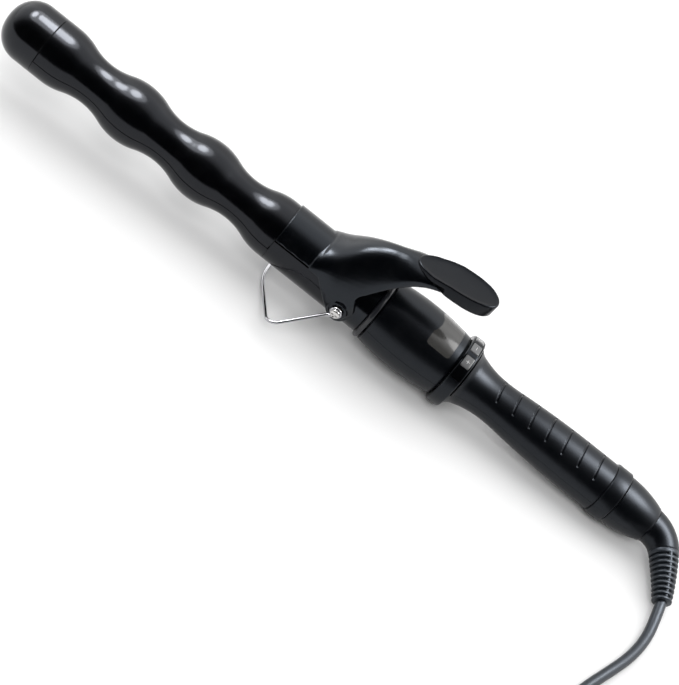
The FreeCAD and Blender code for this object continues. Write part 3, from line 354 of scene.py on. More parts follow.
def make_cord():
    """One NURBS route through the free stretch, the coil and the tail, and a round mesh cord along it."""
    route = CORD_ROUTE + coil_points() + TAIL_ROUTE
    curve = bpy.data.curves.new("cord_route", "CURVE")
    curve.dimensions = "3D"
    curve.resolution_u = 10
    spline = curve.splines.new("NURBS")
    spline.points.add(len(route) - 1)
    for point, place in zip(spline.points, route):
        point.co = (*[value * MM for value in place], 1)
    spline.order_u = 3
    spline.use_endpoint_u = True
    guide = bpy.data.objects.new("cord_route", curve)
    bpy.context.scene.collection.objects.link(guide)
    bpy.context.view_layer.update()
    line = bpy.data.meshes.new_from_object(guide)
    path = [vertex.co.copy() for vertex in line.vertices]
    bpy.data.objects.remove(guide)
    bm = bmesh.new()
    tube(bm, [point / MM for point in path], CORD_R, sides=24)
    cord = finish_piece("mains_cord", bm, RUBBER, None, ("cord_run", "cord_coil", "cord_tail"),
                        TABLE)
    return cord, path


cord, cord_path = make_cord()
length = sum((b - a).length for a, b in zip(cord_path, cord_path[1:]))
print("cord length", round(length, 4))


PIN_R, PIN_SIDE = 2.0, 9.3
PLUG_SIDES = 48


def make_plug():
    """A moulded two-pin plug: a flat body that tapers to the cord, and its round pins."""
    base = Vector(TAIL_ROUTE[-1])
    way = (base - Vector(TAIL_ROUTE[-2])).normalized()
    side = Vector((-way.y, way.x, 0))
    place = TABLE @ Matrix.Translation(base) @ Matrix((way, side, Vector((0, 0, 1)))).transposed().to_4x4()
    bm = bmesh.new()
    rings = []
    sections = [(0.0, 4.4, 4.0), (4.0, 5.0, 4.6), (10.0, 7.0, 6.2), (15.0, 11.0, 6.75), (19.5, 15.0, 6.85),
                (24.0, 17.1, 6.85), (33.2, 17.6, 6.85), (34.6, 17.1, 6.4), (35.0, 16.4, 5.8)]
    for x, half_width, half_height in sections:
        ring = []
        for k in range(PLUG_SIDES):
            turn = 2 * math.pi * k / PLUG_SIDES
            c, s = math.cos(turn), math.sin(turn)
            power = 2 / (2.4 + 1.8 * min(x / 20, 1))
            ring.append(bm.verts.new((x, half_width * math.copysign(abs(c) ** power, c),
                                      half_height * math.copysign(abs(s) ** power, s))))
        rings.append(ring)
    bridge(bm, rings)
    body = finish_piece("plug_shell", bm, RUBBER, "iron", ("plug_body",), place, angle=50.0)
    bm = bmesh.new()
    for y in (-PIN_SIDE, PIN_SIDE):
        path = [Vector((x, y, 0)) for x in (34.0, 44.0, 52.6, 53.5, 54.0)]
        tube(bm, path, [PIN_R, PIN_R, PIN_R, 1.7, 1.1], sides=24)
    pins = finish_piece("plug_contacts", bm, STEEL, "iron", ("plug_pins",), place, angle=50.0)
    bm = bmesh.new()
    for y in (-PIN_SIDE, PIN_SIDE):
        path = [Vector((x, y, 0)) for x in (34.9, 35.1, 43.5, 43.7)]
        tube(bm, path, [PIN_R, PIN_R + 0.06, PIN_R + 0.06, PIN_R], sides=24)
    sleeves = finish_piece("plug_pin_sleeves", bm, RUBBER, "iron", (), place, angle=50.0)
    return [body, pins, sleeves]


plug = make_plug()


def make_tie():
    """A moulded strap round the coil: a rounded loop, swept across the strap's own rounded section."""
    outer, inner, top, thickness, corner_size = 40.3, 21.7, 17.5, 0.85, 1.6
    loop = [Vector((inner, 0.4)), Vector((outer, 0.4)), Vector((outer, top)), Vector((inner, top))]
    smooth = []
    for index, here in enumerate(loop):
        to_before = (loop[index - 1] - here).normalized() * corner_size
        to_after = (loop[(index + 1) % 4] - here).normalized() * corner_size
        smooth += [here + to_before, here + (to_before + to_after) * 0.3, here + to_after]
    centre = Vector(((outer + inner) / 2, top / 2))
    section = ((-3.6, 0.0), (-3.9, 0.25), (-3.9, 0.75), (-3.6, 1.0), (3.6, 1.0), (3.9, 0.75), (3.9, 0.25),
               (3.6, 0.0))
    bm = bmesh.new()
    rings = []
    for half, grow in section:
        ring = []
        for point in smooth:
            spot = point - (point - centre).normalized() * thickness * (1 - grow)
            ring.append(bm.verts.new((COIL.x + half, COIL.y + spot.x, max(spot.y, 0.05))))
        rings.append(ring)
    bridge(bm, rings, closed=True)
    return finish_piece("coil_strap", bm, RUBBER, "iron", ("cord_tie",), TABLE, angle=60.0)


strap = make_tie()
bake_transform(cord)


# ---------------------------------------------------------------- tip, barrel and clip

WAVE_R, WAVE_PITCH, FIRST_CREST, LAST_CREST = 30.874, 44.25, 30.9, 163.65
CREST_R, WAIST_R = 15.9, 11.8
# The clip's plate ends at 166.9; the barrel's base runs on from there under the lever's arm.
BASE_START, BASE_END, BORE_R = 166.95, 205.9, 12.2


def wavy(depth, start):
    """Points a depth below the wavy skin, from a start station to the last crest."""
    points = [(start, CREST_R - depth)]
    for station in span(FIRST_CREST, LAST_CREST, 0.9):
        phase = (station - FIRST_CREST) / WAVE_PITCH
        whole = round(phase * 2)
        x = station - (FIRST_CREST + whole * WAVE_PITCH / 2)
        drop = math.sqrt(WAVE_R ** 2 - x * x)
        if whole % 2 == 0:
            points.append((station - depth * x / WAVE_R, CREST_R - WAVE_R + drop - depth * drop / WAVE_R))
        else:
            points.append((station + depth * x / WAVE_R, WAIST_R + WAVE_R - drop - depth * drop / WAVE_R))
    return points


def make_tip():
    bm = bmesh.new()
    lathe(bm, [(0, 0)] + arc((0, 1.9), (14.0, 15.9), -14.0, 20) + [
        (14.0, 15.9), (23.35, 15.9), (23.5, 15.75), (23.5, 13.5), (31.4, 13.5), (31.4, 11.6), (14, 11.6),
        (6, 8.5), (4, 0)], steps=128)
    finish_piece("tip_shell", bm, GLOSS_TIP, "iron", ("tip_cap",), angle=40.0)


def make_barrel():
    """The lower half stands at full radius; the upper half and the base lie below the clip."""
    bm = bmesh.new()
    inside = [(166.9, BORE_R), (LAST_CREST, BORE_R)] + wavy(2.3, 23.6)[::-1]
    lathe(bm, wavy(0, 23.6) + [(166.9, CREST_R)] + inside, 90.3, 179.4, 96)
    lathe(bm, wavy(1.4, 23.6) + [(166.9, CREST_R - 1.4)] + inside, -90.2, 180.4, 72)
    for skin, start, sweep, steps in ((CREST_R, 69.0, 222.0, 96), (13.6, -68.9, 137.8, 48)):
        lathe(bm, [(BASE_START, BORE_R), (BASE_START, skin), (BASE_END, skin), (BASE_END, BORE_R)], start,
              sweep, steps)
    finish_piece("barrel_skin", bm, ENAMEL, "iron", ("barrel_tube",), bevel=0.12, angle=60.0)


def make_clip():
    bm = bmesh.new()
    lathe(bm, wavy(0, 23.9) + [(166.5, CREST_R), (166.5, CREST_R - 1.15)] + wavy(1.15, 23.9)[::-1],
          -89.35, 178.7, 112)
    lathe(bm, [(166.2, 14.8), (166.2, 15.7), (196.9, 15.7), (196.9, 14.8)], -64.8, 129.6, 48)
    finish_piece("clip_skin", bm, ENAMEL, "lever", ("clip_plate",), bevel=0.18, angle=60.0)


# ---------------------------------------------------------------- collar, flange, pivot screws and stand

def rounded_corners(corners, radii, steps=8):
    """A path of straight runs joined by arcs at its inner corners."""
    path = [corners[0]]
    for index, radius in enumerate(radii, start=1):
        corner = corners[index]
        back = (corners[index - 1] - corner).normalized()
        ahead = (corners[index + 1] - corner).normalized()
        half = back.angle(ahead) / 2
        first, last = corner + back * radius / math.tan(half), corner + ahead * radius / math.tan(half)
        centre = corner + (back + ahead).normalized() * radius / math.sin(half)
        start, turn = first - centre, (first - centre).angle(last - centre)
        axis = start.cross(last - centre).normalized()
        path += [centre + Matrix.Rotation(turn * k / steps, 3, axis) @ start for k in range(steps + 1)]
    return path + [corners[-1]]


def make_collar():
    bm = bmesh.new()
    lathe(bm, [(196, 10.2), (196, 12.1), (206, 12.1), (206.05, 15.65), (206.3, COLLAR_R), (224.0, COLLAR_R),
               (224.3, 15.6), (224.3, 13.0), (234, 13.0), (234, 10.2)], steps=112)
    seat = [Vector((218.5, 0, z)) for z in (14.0, 15.9, 16.2, 16.3)]
    tube(bm, seat, [4.2, 4.2, 4.05, 3.8], sides=40)
    finish_piece("collar_skin", bm, GLOSS, "iron", ("pivot_collar",), bevel=0.1)
    bm = bmesh.new()
    lathe(bm, [(224.5, 13.1)] + arc((224.5, 16.4), (225.95, 17.85), -1.45, 10)
          + arc((225.95, 17.85), (227.4, 16.4), -1.45, 10)[1:] + [(227.4, 13.1)], steps=128)
    finish_piece("flange_skin", bm, SEAL_PAINTED_HIGHLIGHT, "iron", ("flange_ring",))


def cut(thing, bm, operation="DIFFERENCE"):
    """Apply one exact boolean of a piece drawn in millimetres."""
    bmesh.ops.recalc_face_normals(bm, faces=bm.faces)
    bm.transform(IRON)
    data = bpy.data.meshes.new("cutter")
    bm.to_mesh(data)
    bm.free()
    tool = bpy.data.objects.new("cutter", data)
    bpy.context.scene.collection.objects.link(tool)
    step = thing.modifiers.new("cut", "BOOLEAN")
    step.operation, step.solver, step.object = operation, "EXACT", tool
    settle(thing)
    bpy.data.objects.remove(tool)


def settle(thing):
    """Replace a piece's mesh by what its modifiers make of it."""
    bpy.context.view_layer.update()
    shaped = thing.evaluated_get(bpy.context.evaluated_depsgraph_get())
    data = bpy.data.meshes.new_from_object(shaped)
    thing.modifiers.clear()
    thing.data = data


def box(bm, low, high):
    corners = [bm.verts.new((x, y, z)) for z in (low[2], high[2]) for y in (low[1], high[1])
               for x in (low[0], high[0])]
    for face in ((0, 2, 3, 1), (4, 5, 7, 6), (0, 1, 5, 4), (2, 6, 7, 3), (0, 4, 6, 2), (1, 3, 7, 5)):
        bm.faces.new([corners[k] for k in face])


def make_pivot_screws():
    """Domed cross-slot heads with a washer face, on plain shoulders."""
    bm = bmesh.new()
    for side in (-1, 1):
        path = [Vector((PIVOT, side * y, 0)) for y in (10.4, 21.95, 22.0, 22.1, 22.5, 22.85, 23.1, 23.2)]
        tube(bm, path, [1.5, 1.5, 2.35, 2.6, 2.6, 2.4, 1.9, 1.2], sides=40)
    thing = finish_piece("pivot_heads", bm, STEEL, "iron", ("pivot_screws",), angle=35.0)
    for length, width in ((1.7, 0.32), (0.32, 1.7)):
        bm = bmesh.new()
        for side in (-1, 1):
            low, high = sorted((side * 22.6, side * 24.0))
            box(bm, (PIVOT - length, low, -width), (PIVOT + length, high, width))
        cut(thing, bm)
    thing.data.set_sharp_from_angle(angle=math.radians(35))


WIRE_R, EYE_R, EYE_SIDE = 0.85, 2.5, 21.05
STAND_TURN = math.radians(28.84)
NOSE_R, NOSE_REACH, NOSE_SLOPE = 30.0, 45.45, 0.52


def make_stand():
    """A bail of round wire with an eye on each pivot screw; its corners are rounded in one path."""
    turn = STAND_TURN
    down, under = Vector((-math.cos(turn), 0, -math.sin(turn))), Vector((math.sin(turn), 0, -math.cos(turn)))
    pivot = Vector((PIVOT, 0, 0))

    def spot(side, reach):
        return pivot + Vector((0, side, 0)) + down * reach + under * EYE_R

    # The sharp corner stands beyond the rounded nose by what its radius cuts away.
    apex = NOSE_REACH + NOSE_R * (1 / math.cos(math.atan(NOSE_SLOPE)) - 1)
    corners = [spot(-EYE_SIDE, 0), spot(-EYE_SIDE, 4.5), spot(-41.3, 27.3), spot(0, apex), spot(41.3, 27.3),
               spot(EYE_SIDE, 4.5), spot(EYE_SIDE, 0)]
    bm = bmesh.new()
    tube(bm, rounded_corners(corners, [4.0, 5.0, NOSE_R, 5.0, 4.0], 12), WIRE_R, sides=24)
    for side in (-EYE_SIDE, EYE_SIDE):
        ring = [pivot + Vector((EYE_R * math.cos(a), side, EYE_R * math.sin(a)))
                for a in (2 * math.pi * k / 48 for k in range(48))]
        tube(bm, ring, WIRE_R, sides=20, closed=True)
    finish_piece("stand_bail", bm, CHROME_PAINTED_SHADE, "stand", ("stand_wire",))


# ---------------------------------------------------------------- lever arm and thumb paddle

ARM_SECTIONS = [
    # station, top, height where the crown starts, half width of the crown, half width of the cheeks
    (187.6, 15.6, 4.0, 16.2, 16.5), (190.0, 17.6, 4.0, 16.2, 16.6), (194.0, 21.0, 4.0, 16.0, 16.9),
    (198.0, 25.4, 4.0, 15.5, 18.2), (202.0, 29.6, 4.0, 14.8, 19.3), (206.0, 33.0, 4.0, 14.0, 19.4),
    (210.0, 35.8, 4.0, 13.4, 19.4), (214.0, 38.0, 5.0, 13.1, 19.0), (217.4, 39.5, 9.0, 12.9, 17.6),
    (221.0, 41.0, 17.0, 12.6, 15.6), (225.0, 42.2, 27.0, 12.0, 13.2), (229.0, 42.9, 34.0, 11.0, 11.4),
    (233.0, 43.2, 37.5, 9.6, 9.8), (238.0, 43.2, 39.0, 8.0, 8.0), (243.6, 42.9, 39.5, 6.4, 6.4),
]


def open_section(top, base, crown, cheek):
    """Half profile from the middle of the top down to the cheek's foot."""
    half = []
    for step in range(17):
        rise = math.cos(math.pi / 2 * step / 16)
        width = crown * (1 - rise ** 2.2) ** (1 / 2.2) + (cheek - crown) * (1 - rise) ** 1.5
        half.append((width, base + (top - base) * rise))
    return half + [(cheek, -2.0), (cheek, -12.0), (cheek * 0.5, -12.0), (0.0, -12.0)]


def loft(bm, sections):
    """Skin through half profiles (half width, height) mirrored across the middle, closed at both ends."""
    rings = []
    for station, half in sections:
        whole = half + [(-width, height) for width, height in half[-2:0:-1]]
        rings.append([bm.verts.new((station, width, height)) for width, height in whole])
    bridge(bm, rings)


def blended(rows, step):
    """Rows in between, smoothly through the given ones."""
    out = []
    for index in range(len(rows) - 1):
        before, here = rows[max(index - 1, 0)], rows[index]
        after, later = rows[index + 1], rows[min(index + 2, len(rows) - 1)]
        count = max(1, round((after[0] - here[0]) / step))
        for k in range(count):
            t = k / count
            row = [here[0] + (after[0] - here[0]) * t]
            for column in range(1, len(here)):
                a, b, c, d = before[column], here[column], after[column], later[column]
                bend = 2 * a - 5 * b + 4 * c - d + t * (3 * (b - c) + d - a)
                row.append(b + 0.5 * t * (c - a + t * bend))
            out.append(tuple(row))
    return out + [rows[-1]]


def prism(bm, outline, low, high):
    """An outline of (x, z) corners spread along Y."""
    near = [bm.verts.new((x, low, z)) for x, z in outline]
    far = [bm.verts.new((x, high, z)) for x, z in outline]
    for k in range(len(outline)):
        after = (k + 1) % len(outline)
        bm.faces.new([near[k], near[after], far[after], far[k]])
    bm.faces.new(near[::-1])
    bm.faces.new(far)


def make_arm():
    """Cheeks, arm and neck in one smooth moulding, hollow over the spring and the collar."""
    bm = bmesh.new()
    loft(bm, [(row[0], open_section(*row[1:])) for row in blended(ARM_SECTIONS, 1.0)])
    thing = finish_piece("arm_skin", bm, ARM, "lever", ("lever_arm",))
    bm = bmesh.new()
    outline = [(187.0, 6.3), (194.0, 6.3), (201.5, 0.5), (207.0, -4.9)]
    outline += arc((207.0, -4.9), (218.3, 3.0), 7.0, 10)[1:] + [(218.3, 3.0), (214.6, 11.0)]
    outline += arc((214.6, 11.0), (217.5, 16.0), -8.0, 6)[1:]
    outline += [(220.0, 20.5), (223.0, 25.2), (226.0, 29.0), (229.0, 32.0), (232.0, 34.6), (236.0, 36.9),
                (240.0, 38.2), (243.5, 38.8), (243.5, 60.0), (187.0, 60.0)]
    prism(bm, outline, -30.0, 30.0)
    cut(thing, bm, "INTERSECT")
    for side in (-1, 1):
        bm = bmesh.new()
        tube(bm, [Vector((PIVOT, side * y, 0)) for y in (17.5, 19.7, 19.95)], [5.0, 5.0, 4.75], sides=48)
        cut(thing, bm, "UNION")
    bm = bmesh.new()
    tube(bm, [Vector((x, 0, 0)) for x in (150.0, 199.9)], 15.95, sides=96)
    cut(thing, bm)
    bm = bmesh.new()
    tube(bm, [Vector((x, 0, 0)) for x in (199.8, 221.2)], 16.95, sides=96)
    cut(thing, bm)
    pivot = Vector((PIVOT, 0, 0))
    opened = Vector((math.cos(LEVER_OPEN), 0, math.sin(LEVER_OPEN)))
    bm = bmesh.new()
    tube(bm, [pivot, pivot + opened * 13.5], 16.45, sides=96)
    cut(thing, bm)
    bm = bmesh.new()
    box(bm, (180.0, -16.95, -40.0), (250.0, 16.95, 0.1))
    cut(thing, bm)
    bm = bmesh.new()
    prism(bm, [(199.9, 14.0), (199.9, 16.95), (213.0, 17.25), (217.3, 19.6), (218.6, 21.9), (222.0, 22.7),
               (236.0, 28.0), (236.0, 14.0)], -13.5, 13.5)
    cut(thing, bm)
    bm = bmesh.new()
    prism(bm, [(206.0, 14.0), (206.0, 25.0), (212.0, 31.2), (224.0, 35.8), (229.0, 36.0), (229.0, 14.0)],
          -8.0, 8.0)
    cut(thing, bm)
    bm = bmesh.new()
    lathe(bm, [(166.9, 14.9), (166.9, 16.65), (200.4, 16.65), (200.4, 14.9)], -66.0, 132.0, 72)
    cut(thing, bm, "UNION")
    bm = bmesh.new()
    tube(bm, [Vector((PIVOT, y, 0)) for y in (-26.0, 26.0)], 2.65, sides=40)
    cut(thing, bm)
    grid = thing.modifiers.new("grid", "REMESH")
    grid.mode, grid.voxel_size, grid.use_smooth_shade = "VOXEL", 0.36 * MM, True
    ease = thing.modifiers.new("ease", "SMOOTH")
    ease.factor, ease.iterations = 0.5, 7
    fewer = thing.modifiers.new("fewer", "DECIMATE")
    fewer.ratio = 0.45
    settle(thing)
    thing.data.shade_smooth()


PADDLE_SIDES = 120
PADDLE_HALF_WIDTH = 9.4


def make_paddle():
    """An oval thumb rest, dished on top, with a raised rim and a deeper rear half."""
    start, end = 225.2, 268.5
    middle, reach = (start + end) / 2, (end - start) / 2
    tops = [(225.2, 42.9), (230.0, 44.0), (235.7, 45.2), (240.0, 46.6), (245.0, 48.0), (254.0, 49.3),
            (262.0, 50.3), (268.5, 50.7)]

    def top(station):
        for (s0, z0), (s1, z1) in zip(tops, tops[1:]):
            if station <= s1:
                return z0 + (z1 - z0) * (station - s0) / (s1 - s0)
        return tops[-1][1]

    def under(station):
        return top(station) - 3.3 if station < 243.5 else 41.0 + 0.048 * (station - 243.7)

    bm = bmesh.new()
    turns = []
    for k in range(PADDLE_SIDES):
        turn = 2 * math.pi * k / PADDLE_SIDES
        c, s = math.cos(turn), math.sin(turn)
        power = 2 / (2.45 if c > 0 else 2.05)
        turns.append((math.copysign(abs(c) ** power, c),
                      PADDLE_HALF_WIDTH * math.copysign(abs(s) ** (2 / 2.1), s)))
    # Each ring's scale, whether it lies on the top (1) or the underside (0), and how far off it.
    levels = [(0.93, 0, 0.0), (0.985, 0, 0.35), (1.0, 0, 1.0), (1.0, 1, -1.0), (0.99, 1, -0.45),
              (0.97, 1, -0.12), (0.945, 1, 0.0), (0.915, 1, -0.12), (0.87, 1, -0.42), (0.75, 1, -0.62),
              (0.55, 1, -0.8), (0.3, 1, -0.9), (0.1, 1, -0.92)]
    rings = []
    for scale, upper, shift in levels:
        ring = []
        for x, y in turns:
            station = middle + reach * x * scale
            height = top(station) + shift if upper else under(middle + reach * x) + shift
            ring.append(bm.verts.new((station, y * scale, height)))
        rings.append(ring)
    bridge(bm, rings)
    finish_piece("paddle_skin", bm, PADDLE, "lever", ("thumb_paddle",), angle=42.0)


# ---------------------------------------------------------------- housing, window, control ring and buttons

HOUSING_SKIN = arc((228.0, 17.4), (247.5, 19.0), -119.0, 16) + arc((247.5, 19.0), (271.8, 17.0), -148.0, 20)
HOUSING_SKIN += [(271.8, 17.0)]
WINDOW = 260.7
WINDOW_HALF_LENGTH, WINDOW_HALF_ANGLE, WINDOW_CORNER = 7.0, 42.0, 1.8


def skin_radius(outline, station):
    for (s0, r0), (s1, r1) in zip(outline, outline[1:]):
        if s0 <= station <= s1:
            return r0 + (r1 - r0) * (station - s0) / max(s1 - s0, 1e-9)
    return outline[-1][1]


def window_outline():
    """Rounded outline of the window wrapped on the housing: stations and angles."""
    steps = 10
    radius = skin_radius(HOUSING_SKIN, WINDOW)
    half_width = math.radians(WINDOW_HALF_ANGLE) * radius
    outline = []
    for cx, cy, first in ((1, 1, 0), (-1, 1, 90), (-1, -1, 180), (1, -1, 270)):
        for k in range(steps + 1):
            turn = math.radians(first + 90 * k / steps)
            x = cx * (WINDOW_HALF_LENGTH - WINDOW_CORNER) + WINDOW_CORNER * math.cos(turn)
            y = cy * (half_width - WINDOW_CORNER) + WINDOW_CORNER * math.sin(turn)
            outline.append((WINDOW + x, math.degrees(y / radius)))
    return outline


def make_housing():
    """Two half shells of one bulged outline; the upper one is cut open for the window."""
    inner = [(271.8, 15.0)] + [(s, r - 2.0) for s, r in HOUSING_SKIN[-2:3:-1]]
    inner += [(231.5, 13.2), (228.0, 13.2)]
    edge = [(228.0, 17.1), (228.15, 17.4)]
    shell = edge + HOUSING_SKIN[1:-1] + [(271.6, 17.02), (271.8, 16.8)] + inner
    bm = bmesh.new()
    lathe(bm, shell, -89.8, 179.6, 96)
    upper = finish_piece("housing_top", bm, SATIN, "iron", ("housing_upper",), angle=42.0)
    bm = bmesh.new()
    radii = (13.5, 16.5, 19.5, 22.0)
    columns = [[bm.verts.new(around(station, radius, angle)) for radius in radii]
               for station, angle in window_outline()]
    count = len(columns)
    for k in range(count):
        here, after = columns[k], columns[(k + 1) % count]
        for level in range(3):
            bm.faces.new([here[level], after[level], after[level + 1], here[level + 1]])
    inside, outside = bm.verts.new(around(WINDOW, radii[0], 0)), bm.verts.new(around(WINDOW, radii[-1], 0))
    for k in range(count):
        here, after = columns[k], columns[(k + 1) % count]
        bm.faces.new([inside, after[0], here[0]])
        bm.faces.new([outside, here[3], after[3]])
    cut(upper, bm)
    upper.data.set_sharp_from_angle(angle=math.radians(42))
    bm = bmesh.new()
    lathe(bm, shell, 90.2, 179.6, 96)
    finish_piece("housing_base", bm, SATIN, "iron", ("housing_lower",), angle=42.0)
    make_lens()


def make_lens():
    """The smoked window, a hair below the skin; its rim lies under the edge of the housing's opening."""
    stations = [253.45 + 14.5 * k / 48 for k in range(49)]
    top = [(station, skin_radius(HOUSING_SKIN, station) - 0.1) for station in stations]
    bm = bmesh.new()
    lathe(bm, top + [(stations[-1], top[-1][1] - 2.0), (stations[0], top[0][1] - 2.0)], -42.8, 85.6, 90)
    finish_piece("window_lens", bm, LENS_PAINTED_REFLECTION, "iron", ("display_window",))


def turned_about(degrees):
    return IRON @ Matrix.Rotation(math.radians(degrees), 4, "X")


RING_MIDDLE = 275.8
BUTTON_SPACING = 27.0


def make_ring():
    """A gloss bezel over the top for the buttons, satin underneath."""
    rim = [(270.8, 14.2), (270.8, 15.0), (272.2, 15.0)]
    rim += arc((272.2, 18.3), (273.4, 19.5), -1.2, 8) + arc((278.2, 19.5), (279.4, 18.3), -1.2, 8)
    rim += [(279.4, 18.3), (279.4, 14.6)]
    bm = bmesh.new()
    lathe(bm, rim, 58.3, 243.4, 110)
    finish_piece("ring_base", bm, SATIN, "iron", (), angle=40.0)
    bm = bmesh.new()
    lathe(bm, rim, -58.0, 116.0, 60)
    ring = finish_piece("ring_bezel", bm, BEZEL, "iron", ("control_ring",), angle=40.0)
    for place in (-1, 0, 1):
        bm = bmesh.new()
        column(bm, 2.8, 3.5, 0.9, (10.0, 24.0))
        bm.transform(Matrix.Rotation(math.radians(BUTTON_SPACING * place), 4, "X"))
        cut(ring, bm)
    ring.data.set_sharp_from_angle(angle=math.radians(40))
    marks = (("power_button", "button_power", -1), ("minus_button", "button_minus", 0),
             ("plus_button", "button_plus", 1))
    for body, node_name, place in marks:
        bm = bmesh.new()
        column(bm, 2.5, 3.2, 0.8, (16.3, 19.2, 19.45, 19.6, 19.66), (1.0, 1.0, 0.97, 0.9, 0.78))
        turned = turned_about(BUTTON_SPACING * place)
        finish_piece(node_name + "_cap", bm, BUTTON, body, (node_name,), turned, angle=60.0)
        bm = bmesh.new()
        mark(bm, place)
        finish_piece(node_name + "_mark", bm, MARK, body, (), turned)


def column(bm, half_x, half_y, corner, heights, scales=None):
    """A rounded rectangular column under the ring's skin."""
    rings = []
    for index, height in enumerate(heights):
        scale = scales[index] if scales else 1.0
        ring = []
        for cx, cy, first in ((1, 1, 0), (-1, 1, 90), (-1, -1, 180), (1, -1, 270)):
            for k in range(7):
                turn = math.radians(first + 15 * k)
                x = scale * (cx * (half_x - corner) + corner * math.cos(turn))
                y = scale * (cy * (half_y - corner) + corner * math.sin(turn))
                ring.append(bm.verts.new((RING_MIDDLE + x, y, height)))
        rings.append(ring)
    bridge(bm, rings)


def mark(bm, place):
    """A plain raised mark: a broken ring with a stroke, a minus or a plus."""
    low, high = 19.62, 19.70
    if place < 0:
        ring = []
        for k in range(21):
            turn = math.radians(40 + 280 * k / 20)
            ring.append(Vector((RING_MIDDLE + 0.95 * math.cos(turn), 0.95 * math.sin(turn), 19.66)))
        tube(bm, ring, 0.11, sides=8)
        box(bm, (RING_MIDDLE + 0.2, -0.11, low), (RING_MIDDLE + 1.25, 0.11, high))
        return
    box(bm, (RING_MIDDLE - 0.12, -1.0, low), (RING_MIDDLE + 0.12, 1.0, high))
    if place > 0:
        box(bm, (RING_MIDDLE - 1.0, -0.12, low), (RING_MIDDLE - 0.14, 0.12, high))
        box(bm, (RING_MIDDLE + 0.14, -0.12, low), (RING_MIDDLE + 1.0, 0.12, high))


# ---------------------------------------------------------------- handle, rear collar, cap, swivel and relief

GRIP_SKIN = (arc((279.8, 17.0), (284.6, 13.7), 7.5, 10) + arc((284.6, 13.7), (300.0, 11.25), 49.0, 14)
             + arc((300.0, 11.25), (310.0, 11.75), 100.0, 6) + arc((310.0, 11.75), (352.0, 13.5), -505.0, 16)
             + [(352.0, 13.5), (367.9, 13.5)])
GROOVES = [298.4 + 10.05 * place for place in range(7)]


def groove_depth(station, angle):
    """Depth of the seven finger grooves, which curve back towards both sides."""
    deepest = 0.0
    side = abs(angle) / 47.0
    fade = min(max((1.0 - side) / 0.05, 0.0), 1.0)
    for middle in GROOVES:
        away = abs(station - middle - 1.6 * side ** 2.2) / 0.62
        if away < 1.0:
            deepest = max(deepest, 0.75 * min(1.0, (1.0 - away) * 2.6))
    return deepest * fade


def make_grip():
    stations = []
    position = 279.8
    while position < 367.9:
        stations.append(position)
        near = any(-0.9 < position - middle < 2.6 for middle in GROOVES)
        position += 0.2 if near else 0.6
    stations.append(367.9)
    angles = span(-89.8, 89.8, 1.5)
    bm = bmesh.new()
    outer = [[bm.verts.new(around(s, skin_radius(GRIP_SKIN, s) - groove_depth(s, a), a)) for a in angles]
             for s in stations]
    inner = [[bm.verts.new(around(s, skin_radius(GRIP_SKIN, s) - 2.3, a)) for a in angles] for s in stations]
    for i in range(len(stations) - 1):
        for k in range(len(angles) - 1):
            bm.faces.new([outer[i][k], outer[i][k + 1], outer[i + 1][k + 1], outer[i + 1][k]])
            bm.faces.new([inner[i][k], inner[i + 1][k], inner[i + 1][k + 1], inner[i][k + 1]])
        bm.faces.new([outer[i][0], outer[i + 1][0], inner[i + 1][0], inner[i][0]])
        bm.faces.new([outer[i][-1], inner[i][-1], inner[i + 1][-1], outer[i + 1][-1]])
    for k in range(len(angles) - 1):
        bm.faces.new([outer[0][k], inner[0][k], inner[0][k + 1], outer[0][k + 1]])
        bm.faces.new([outer[-1][k], outer[-1][k + 1], inner[-1][k + 1], inner[-1][k]])
    finish_piece("grip_top", bm, SATIN, "iron", ("handle_upper",), angle=44.0)
    bm = bmesh.new()
    lathe(bm, GRIP_SKIN + [(s, r - 2.3) for s, r in GRIP_SKIN[::-1]], 90.2, 179.6, 96)
    finish_piece("grip_base", bm, SATIN, "iron", ("handle_lower",), angle=44.0)
    bm = bmesh.new()
    lathe(bm, [(368.15, 11.4), (368.15, 13.6)] + arc((368.3, 13.8), (368.9, 14.4), -0.6, 5)
          + arc((376.2, 14.4), (376.8, 13.8), -0.6, 5)
          + [(376.8, 13.8), (377.15, 13.5), (377.15, 11.4)], steps=128)
    finish_piece("rear_band", bm, SATIN, "iron", ("rear_collar",), angle=50.0)
    cap = arc((377.4, 13.4), (398.2, 9.8), -58.0, 20)
    cap += [(398.2, 9.8), (398.4, 9.5), (398.4, 5.15), (390.7, 5.15), (390.7, 7.35), (387.8, 7.35),
            (387.8, 9.0), (377.4, 9.0)]
    for name, start, stands in (("cap_top", -89.9, "rear_cap_upper"), ("cap_base", 90.1, "rear_cap_lower")):
        bm = bmesh.new()
        lathe(bm, cap, start, 179.8, 80)
        finish_piece(name, bm, SATIN, "iron", (stands,), angle=44.0)


SWIVEL = math.radians(80.0)
SIDEWAYS = Vector((0, -math.sin(SWIVEL), -math.cos(SWIVEL)))
ELBOW_START, ELBOW_R, BEND = 398.65, 15.0, math.radians(61.0)
RELIEF_LENGTH, RELIEF_BEND, RIBS = 27.0, math.radians(10.0), 10


def elbow_point(angle):
    return (Vector((ELBOW_START, 0, 0)) + SIDEWAYS * ELBOW_R
            + (Vector((math.sin(angle), 0, 0)) - SIDEWAYS * math.cos(angle)) * ELBOW_R)


def relief_point(share):
    angle = BEND + RELIEF_BEND * share
    reach = RELIEF_LENGTH / RELIEF_BEND
    return (elbow_point(BEND) + (Vector((math.sin(angle) - math.sin(BEND), 0, 0))
                                 + SIDEWAYS * (math.cos(BEND) - math.cos(angle))) * reach)


def relief_way(share):
    angle = BEND + RELIEF_BEND * share
    return Vector((math.cos(angle), 0, 0)) + SIDEWAYS * math.sin(angle)


